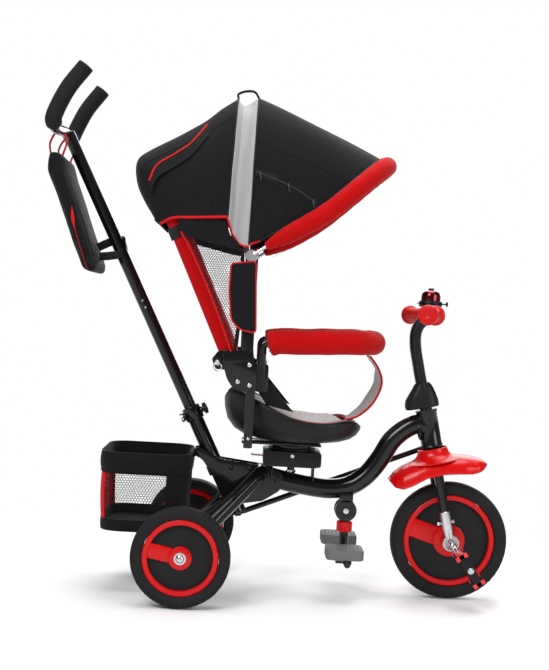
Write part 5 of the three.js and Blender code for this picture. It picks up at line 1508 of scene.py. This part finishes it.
# ---- Side wings ----------------------------------------------------------------------------------
# A net wing closes each side between the backrest and the upright, under a plain black band,
# with a small flap edged in red. The net is real: wire strands on a hexagonal grid.
net_black = weave(material("net_black", (0.014, 0.014, 0.015), 0.7, shine=0.25), 0.8, 0.1, (0.018, 0.018, 0.020),
                  (0.010, 0.010, 0.011))
WING_Y = 145.2


def inside(x, z, outline):
    """Whether (x, z) lies inside an outline."""
    hit = False
    for (x0, z0), (x1, z1) in zip(outline, outline[1:] + outline[:1]):
        if (z0 > z) != (z1 > z) and x < (x1 - x0) * (z - z0) / (z1 - z0) + x0:
            hit = not hit
    return hit


def net(outline, place, cell):
    """Hexagonal strands, kept where their middle lies inside the outline; place maps (x, z) to bench."""
    xs, zs = [p[0] for p in outline], [p[1] for p in outline]
    step_x, step_z = cell * math.sqrt(3), cell * 1.5
    lines, marks = [], {}

    def mark(x, z):
        return marks.setdefault((round(x, 2), round(z, 2)), len(marks))

    for r in range(int((max(zs) - min(zs)) / step_z) + 2):
        for q in range(int((max(xs) - min(xs)) / step_x) + 2):
            cx = min(xs) + q * step_x + (r % 2) * step_x / 2
            cz = min(zs) + r * step_z
            if inside(cx, cz, outline):
                lines.append([mark(cx + cell * math.sin(math.radians(60 * k)),
                                   cz + cell * math.cos(math.radians(60 * k)))
                              for k in range(6)])
    return [tuple(place(x, z)) for x, z in marks], lines


def netting(name, outline, place, cell, strand, body, slot):
    """A real net: each cell's edge becomes a strand."""
    made = piece(name, net(outline, place, cell), None, net_black, slot)
    wire = made.modifiers.new("strands", "WIREFRAME")
    wire.thickness = strand * MM
    wire.use_even_offset = False
    wire.use_boundary = True
    settle(made, body, net_black, (), 60)
    return made


def wing_blend(made):
    """Bakes the placement into the mesh of a wing that meets the upright at its front and the backrest at its rear.
    """
    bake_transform(made)


for side, label in SIDES:
    net_outline = [(-36, 742), (88, 714), (90, 616), (84, 512), (76, 506), (50, 570), (18, 640), (-14, 704)]
    wing = netting("wing_net_" + label, net_outline, lambda x, z, side=side: Vector((x, side * WING_Y, z)), 3.1,
                   0.9, None, "black_cloth")
    wing_blend(wing)
    band_outline = rounded([(-46, 770), (-40, 736), (60, 714), (92, 710), (90, 718), (62, 740), (52, 768),
                            (20, 776)], 3)
    band_shape = plate(band_outline, *sorted((side * (WING_Y - 0.6), side * (WING_Y + 0.8))))
    wing_blend(cut_flat(piece("wing_band_" + label, band_shape, None, *CLOTH)))
    hem = through([(-38, 0, 742), (-16, 0, 706), (18, 0, 640), (50, 0, 570), (76, 0, 506)], 8)
    wing_blend(piece("wing_piping_" + label, tube([Vector((p.x, side * WING_Y, p.z)) for p in hem], 2.0, 10), None,
                     *PIPING))
    post = through([(88, 0, 712), (90, 0, 616), (84, 0, 508)], 8)
    wing_blend(piece("wing_hem_" + label, tube([Vector((p.x, side * WING_Y, p.z)) for p in post], 3.0, 10), None,
                     *CLOTH))
    flap_outline = rounded([(67, 683), (117, 690), (124, 546), (92, 551), (73, 570), (66, 629)], 8)
    cut_flat(piece("side_flap_" + label, plate(flap_outline, *sorted((side * 151.5, side * 153.0))), "seat",
                   *CLOTH))
    edge = [Vector((x, side * 152.2, z)) for x, z in flap_outline]
    piece("side_flap_piping_" + label, tube(edge, 1.7, 10, closed=True), "seat", *PIPING)

# ---- Basket --------------------------------------------------------------------------------------
# A sewn basket behind the seat: padded black rim band, net sides, red rear face, corner posts.
# It hangs on a wire clip over the rear of the main frame.
BASKET_HALF, BASKET_LOW, BASKET_TOP = 122, 128, 286


def basket_wall(z):
    """Where the rear, front and side walls stand at a height."""
    share = (z - BASKET_LOW) / (BASKET_TOP - BASKET_LOW)
    return -176 - 4 * share, 2 + 3 * share, BASKET_HALF - 5 + 5 * share


def basket_ring(z, out=0.0, radius=52):
    """The outline of the basket at a height, out from its walls."""
    back, front, half = basket_wall(z)
    return [Vector((x, y, z)) for x, y in rounded([(back - out, -half - out), (front + out, -half - out),
        (front + out, half + out), (back - out, half + out)], radius, 8)]


def basket_band(name, z0, z1, thick, made_of, slot, bulge=0.0):
    rings = []
    for share in np.linspace(0, 1, 7):
        z = z0 + (z1 - z0) * share
        rings.append([tuple(p) for p in basket_ring(z, bulge * math.sin(math.pi * share))])
    for share in np.linspace(1, 0, 7):
        z = z0 + (z1 - z0) * share
        rings.append([tuple(p) for p in basket_ring(z, -thick - bulge * math.sin(math.pi * share))])
    return piece(name, loft(rings, again=True), "frame", made_of, slot)


basket_band("basket_rim", 244, 288, 5, *CLOTH, 2.5)
basket_band("basket_foot", 126, 150, 2.5, *CLOTH, 0.6)
base_rings = [[(p.x, p.y, z) for p in basket_ring(BASKET_LOW)] for z in (126.4, 129.2)]
piece("basket_base", loft(base_rings), "frame", *CLOTH, "basket")


def basket_skin(z, bulge=0.0):
    """The wall at height z as a function of the share of the way round from the middle of the front."""
    ring = basket_ring(z, bulge)
    ring = [a.lerp(b, k / 16) for a, b in zip(ring, ring[1:] + ring[:1]) for k in range(16)]
    start = min(range(len(ring)), key=lambda i: (round(-ring[i].x, 1), abs(ring[i].y)))
    ring = ring[start:] + ring[:start]
    way = evenly(ring + ring[:1])
    return lambda share: way(share % 1)


BASKET_ROUND = 745.0
basket_skins = {z: basket_skin(float(z), -1.4) for z in range(140, 256)}


def on_basket(share, z):
    """The basket's skin at a share of the way round and a height."""
    low = int(z)
    return basket_skins[low](share).lerp(basket_skins[low + 1](share), z - low)


def basket_panel(name, start, end, made_of, slot, thick, puff):
    points = []
    for z in np.linspace(146, 248, 14):
        way = basket_skin(z, puff * math.sin(math.pi * (z - 146) / 102) - 1.2)
        points += [tuple(way(share)) for share in np.linspace(start, end, 28)]
    faces = [[r * 28 + c, r * 28 + c + 1, (r + 1) * 28 + c + 1, (r + 1) * 28 + c] for r in range(13)
             for c in range(27)]
    made = piece(name, (points, faces), "frame", made_of, slot, wall=thick)
    return cut_cloth(made, lambda u, v: on_basket(start + (end - start) * u, 146 + 102 * v))


basket_panel("basket_rear_face", 0.36, 0.64, *RED_CLOTH, 1.4, 2.0)
for start, end, label in ((-0.12, 0.12, "front"), (0.185, 0.37, "one"), (0.63, 0.815, "two")):
    netting("basket_net_" + label, [(start * BASKET_ROUND, 147), (end * BASKET_ROUND, 147),
                                    (end * BASKET_ROUND, 247), (start * BASKET_ROUND, 247)],
            lambda a, z: on_basket(a / BASKET_ROUND, z), 3.4, 0.9, "frame", "black_cloth")
for start, label in ((0.11, "one"), (0.81, "two")):
    basket_panel("basket_corner_" + label, start, start + 0.08, *CLOTH, 2.4, 0.6)
row("basket_rim_stitches", basket_ring(247, 1.4), block(0.7, 0.7, 3.2), 5.0, (0, 0, 1), "frame", *CLOTH,
    closed=True)
clip_line = [(2, 0, 272), (10, 0, 278), (17, 0, 281), (21, 0, 281)]
piece("basket_clip", tube(through(clip_line, 5), 3.0, 12, flat=5.0, side=(0, 1, 0)), "frame", *WEBBING)

# ---- Footrest ------------------------------------------------------------------------------------
# A folding footrest hangs under the main tube: black hub and post, a red collar, a cross rod
# and two grey stippled foot plates.
FOOT_PIVOT = (336, 0, 178)
piece("footrest_ears", together(
    *[lathe([(4.2, side * 12), (23, side * 12), (23, side * 19.4), (22.4, side * 20), (4.2, side * 20)], FOOT_PIVOT,
            (0, 1, 0), 48) for side in (-1, 1)],
    box(322, 350, -20, -12, 196, 216), box(322, 350, 12, 20, 196, 216), box(324, 348, -12, 12, 204, 216)),
    "frame", *PAINT, "footrest_bracket", bevel=0.6)
piece("footrest_bolt", lathe([(0, -26), (6.4, -26), (7, -25.2), (7, -21), (4, -20.4), (4, 20.4), (7, 21), (7, 25.2),
                              (6.4, 26), (0, 26)], FOOT_PIVOT, (0, 1, 0), 6, False),
      "frame", *STEEL, bevel=0.3)
piece("footrest_stem", together(
    lathe([(5, -11), (18.2, -11), (19, -10.2), (19, 10.2), (18.2, 11), (5, 11)], FOOT_PIVOT, (0, 1, 0), 48),
    straight((336, 0, 70), (336, 0, 164), 10, 32), straight((336, -132, 84), (336, 132, 84), 7, 24),
    box(320, 352, -18, 18, 65, 75)),
    "footrest", *PAINT, "footrest_post", bevel=0.6)
piece("footrest_collar_red", lathe([(10.2, 132), (16.2, 132), (17, 133), (17, 152), (16, 153.4), (13, 154),
                                    (10.2, 154)], (336, 0, 0), (0, 0, 1), 48), "footrest",
      *RED, "footrest_collar", bevel=0.4)
stipple = grain(mottle(material("foot_plate_grey", (0.13, 0.13, 0.135), 0.6), (0.12, 0.12, 0.125),
                       (0.16, 0.16, 0.165), 30, (0.5, 0.7)), 700, 0.25)
for side, label in SIDES:
    tread = rounded([(292, 52), (370, 52), (370, 130), (292, 130)], 14, 8)
    rings = []
    for z, out in ((91.4, -3), (92.6, -0.8), (95, 0), (109, 0), (112, -0.8), (112.9, -2.4)):
        rings.append([((331 + (x - 331) * (1 + out / 39)), side * (91 + (y - 91) * (1 + out / 39)), z) for x,
                      y in tread])
    piece("foot_tread_" + label, loft(rings), "footrest", stipple, "black_plastic", "foot_plate_" + label)
    grips_at = [(x, side * y, 113.0) for x in range(302, 366, 8) for y in range(62, 124, 8)]
    studs = [lathe([(0, -0.6), (1.9, -0.6), (1.6, 0.3), (0.9, 0.6), (0, 0.7)], p, (0, 0, 1), 10, False)
             for p in grips_at]
    piece("foot_studs_" + label, together(*studs), "footrest", stipple, "black_plastic")
    piece("foot_rib_" + label, box(327, 345, side * 91 - 34, side * 91 + 34, 84, 92), "footrest", *PLASTIC,
          bevel=0.8)

# ---- Carry bag -----------------------------------------------------------------------------------
# A soft flat bag hangs from the push handle by two red loops: black cloth, a red fold line, a
# strap round the handle tube.
bag_ring = []
for x, z in ((-24, -50), (-26, -84), (-6, -128), (37, -237), (62, -292), (76, -298), (86, -290), (56, -210),
             (34, -150), (12, -95), (-2, -50)):
    bag_ring.append((x - 294, z + 945))
outline_bag = rounded(bag_ring, 5, 4)
bag_rings = []
spine = through([(-310, 0, 893), (-296, 0, 850), (-250, 0, 740), (-216, 0, 650)], 20)
for y, inset in ((-100, 0.35), (-98, 0.8), (-92, 0.96), (-70, 1.0), (-35, 1.04), (0, 1.05), (35, 1.04), (70, 1.0),
                 (92, 0.96), (98, 0.8), (100, 0.35)):
    ring = []
    for x, z in outline_bag:
        near = min(spine, key=lambda p: (p.x - x) ** 2 + (p.z - z) ** 2)
        ring.append((near.x + (x - near.x) * inset, y, near.z + (z - near.z) * inset))
    bag_rings.append(ring)
swell("bag_body", loft(bag_rings), 6, 3, 4, "push_handle", *CLOTH, "bag", 0.5)
for y in (-84, 84):
    fold = through([(-265, y * 1.2, 784), (-260, y * 1.21, 752), (-246, y * 1.21, 708), (-226, y * 1.2, 655)], 12)
    lens = [0.5 + 3.2 * math.sin(math.pi * min(i / 18, 1)) ** 2 for i in range(len(fold))]
    piece(f"bag_cord_{y + 84}", tube(fold, lens, 12, flat=0.4, side=(0, 1, 0)), "push_handle", *PIPING)
for y in (-60, 60):
    hang = through([(-318, y, 886), (-322, y, 915), (-306, y, 940), (-288, y, 925), (-296, y, 886)], 8)
    piece(f"bag_loop_{y + 60}", tube(hang, 1.8, 10, flat=4.5, side=(0, 1, 0)), "push_handle", *RED_CLOTH)
strap_line = through([(-221, 12, 707), (-190, 16, 722), (-167, 14, 725), (-160, 0, 710), (-167, -14, 696),
                      (-190, -16, 690), (-214, -12, 687)], 8)
piece("bag_strap", tube(strap_line, 1.1, 10, flat=8.0, side=(-0.3, 0, 0.95)), "push_handle", *WEBBING)
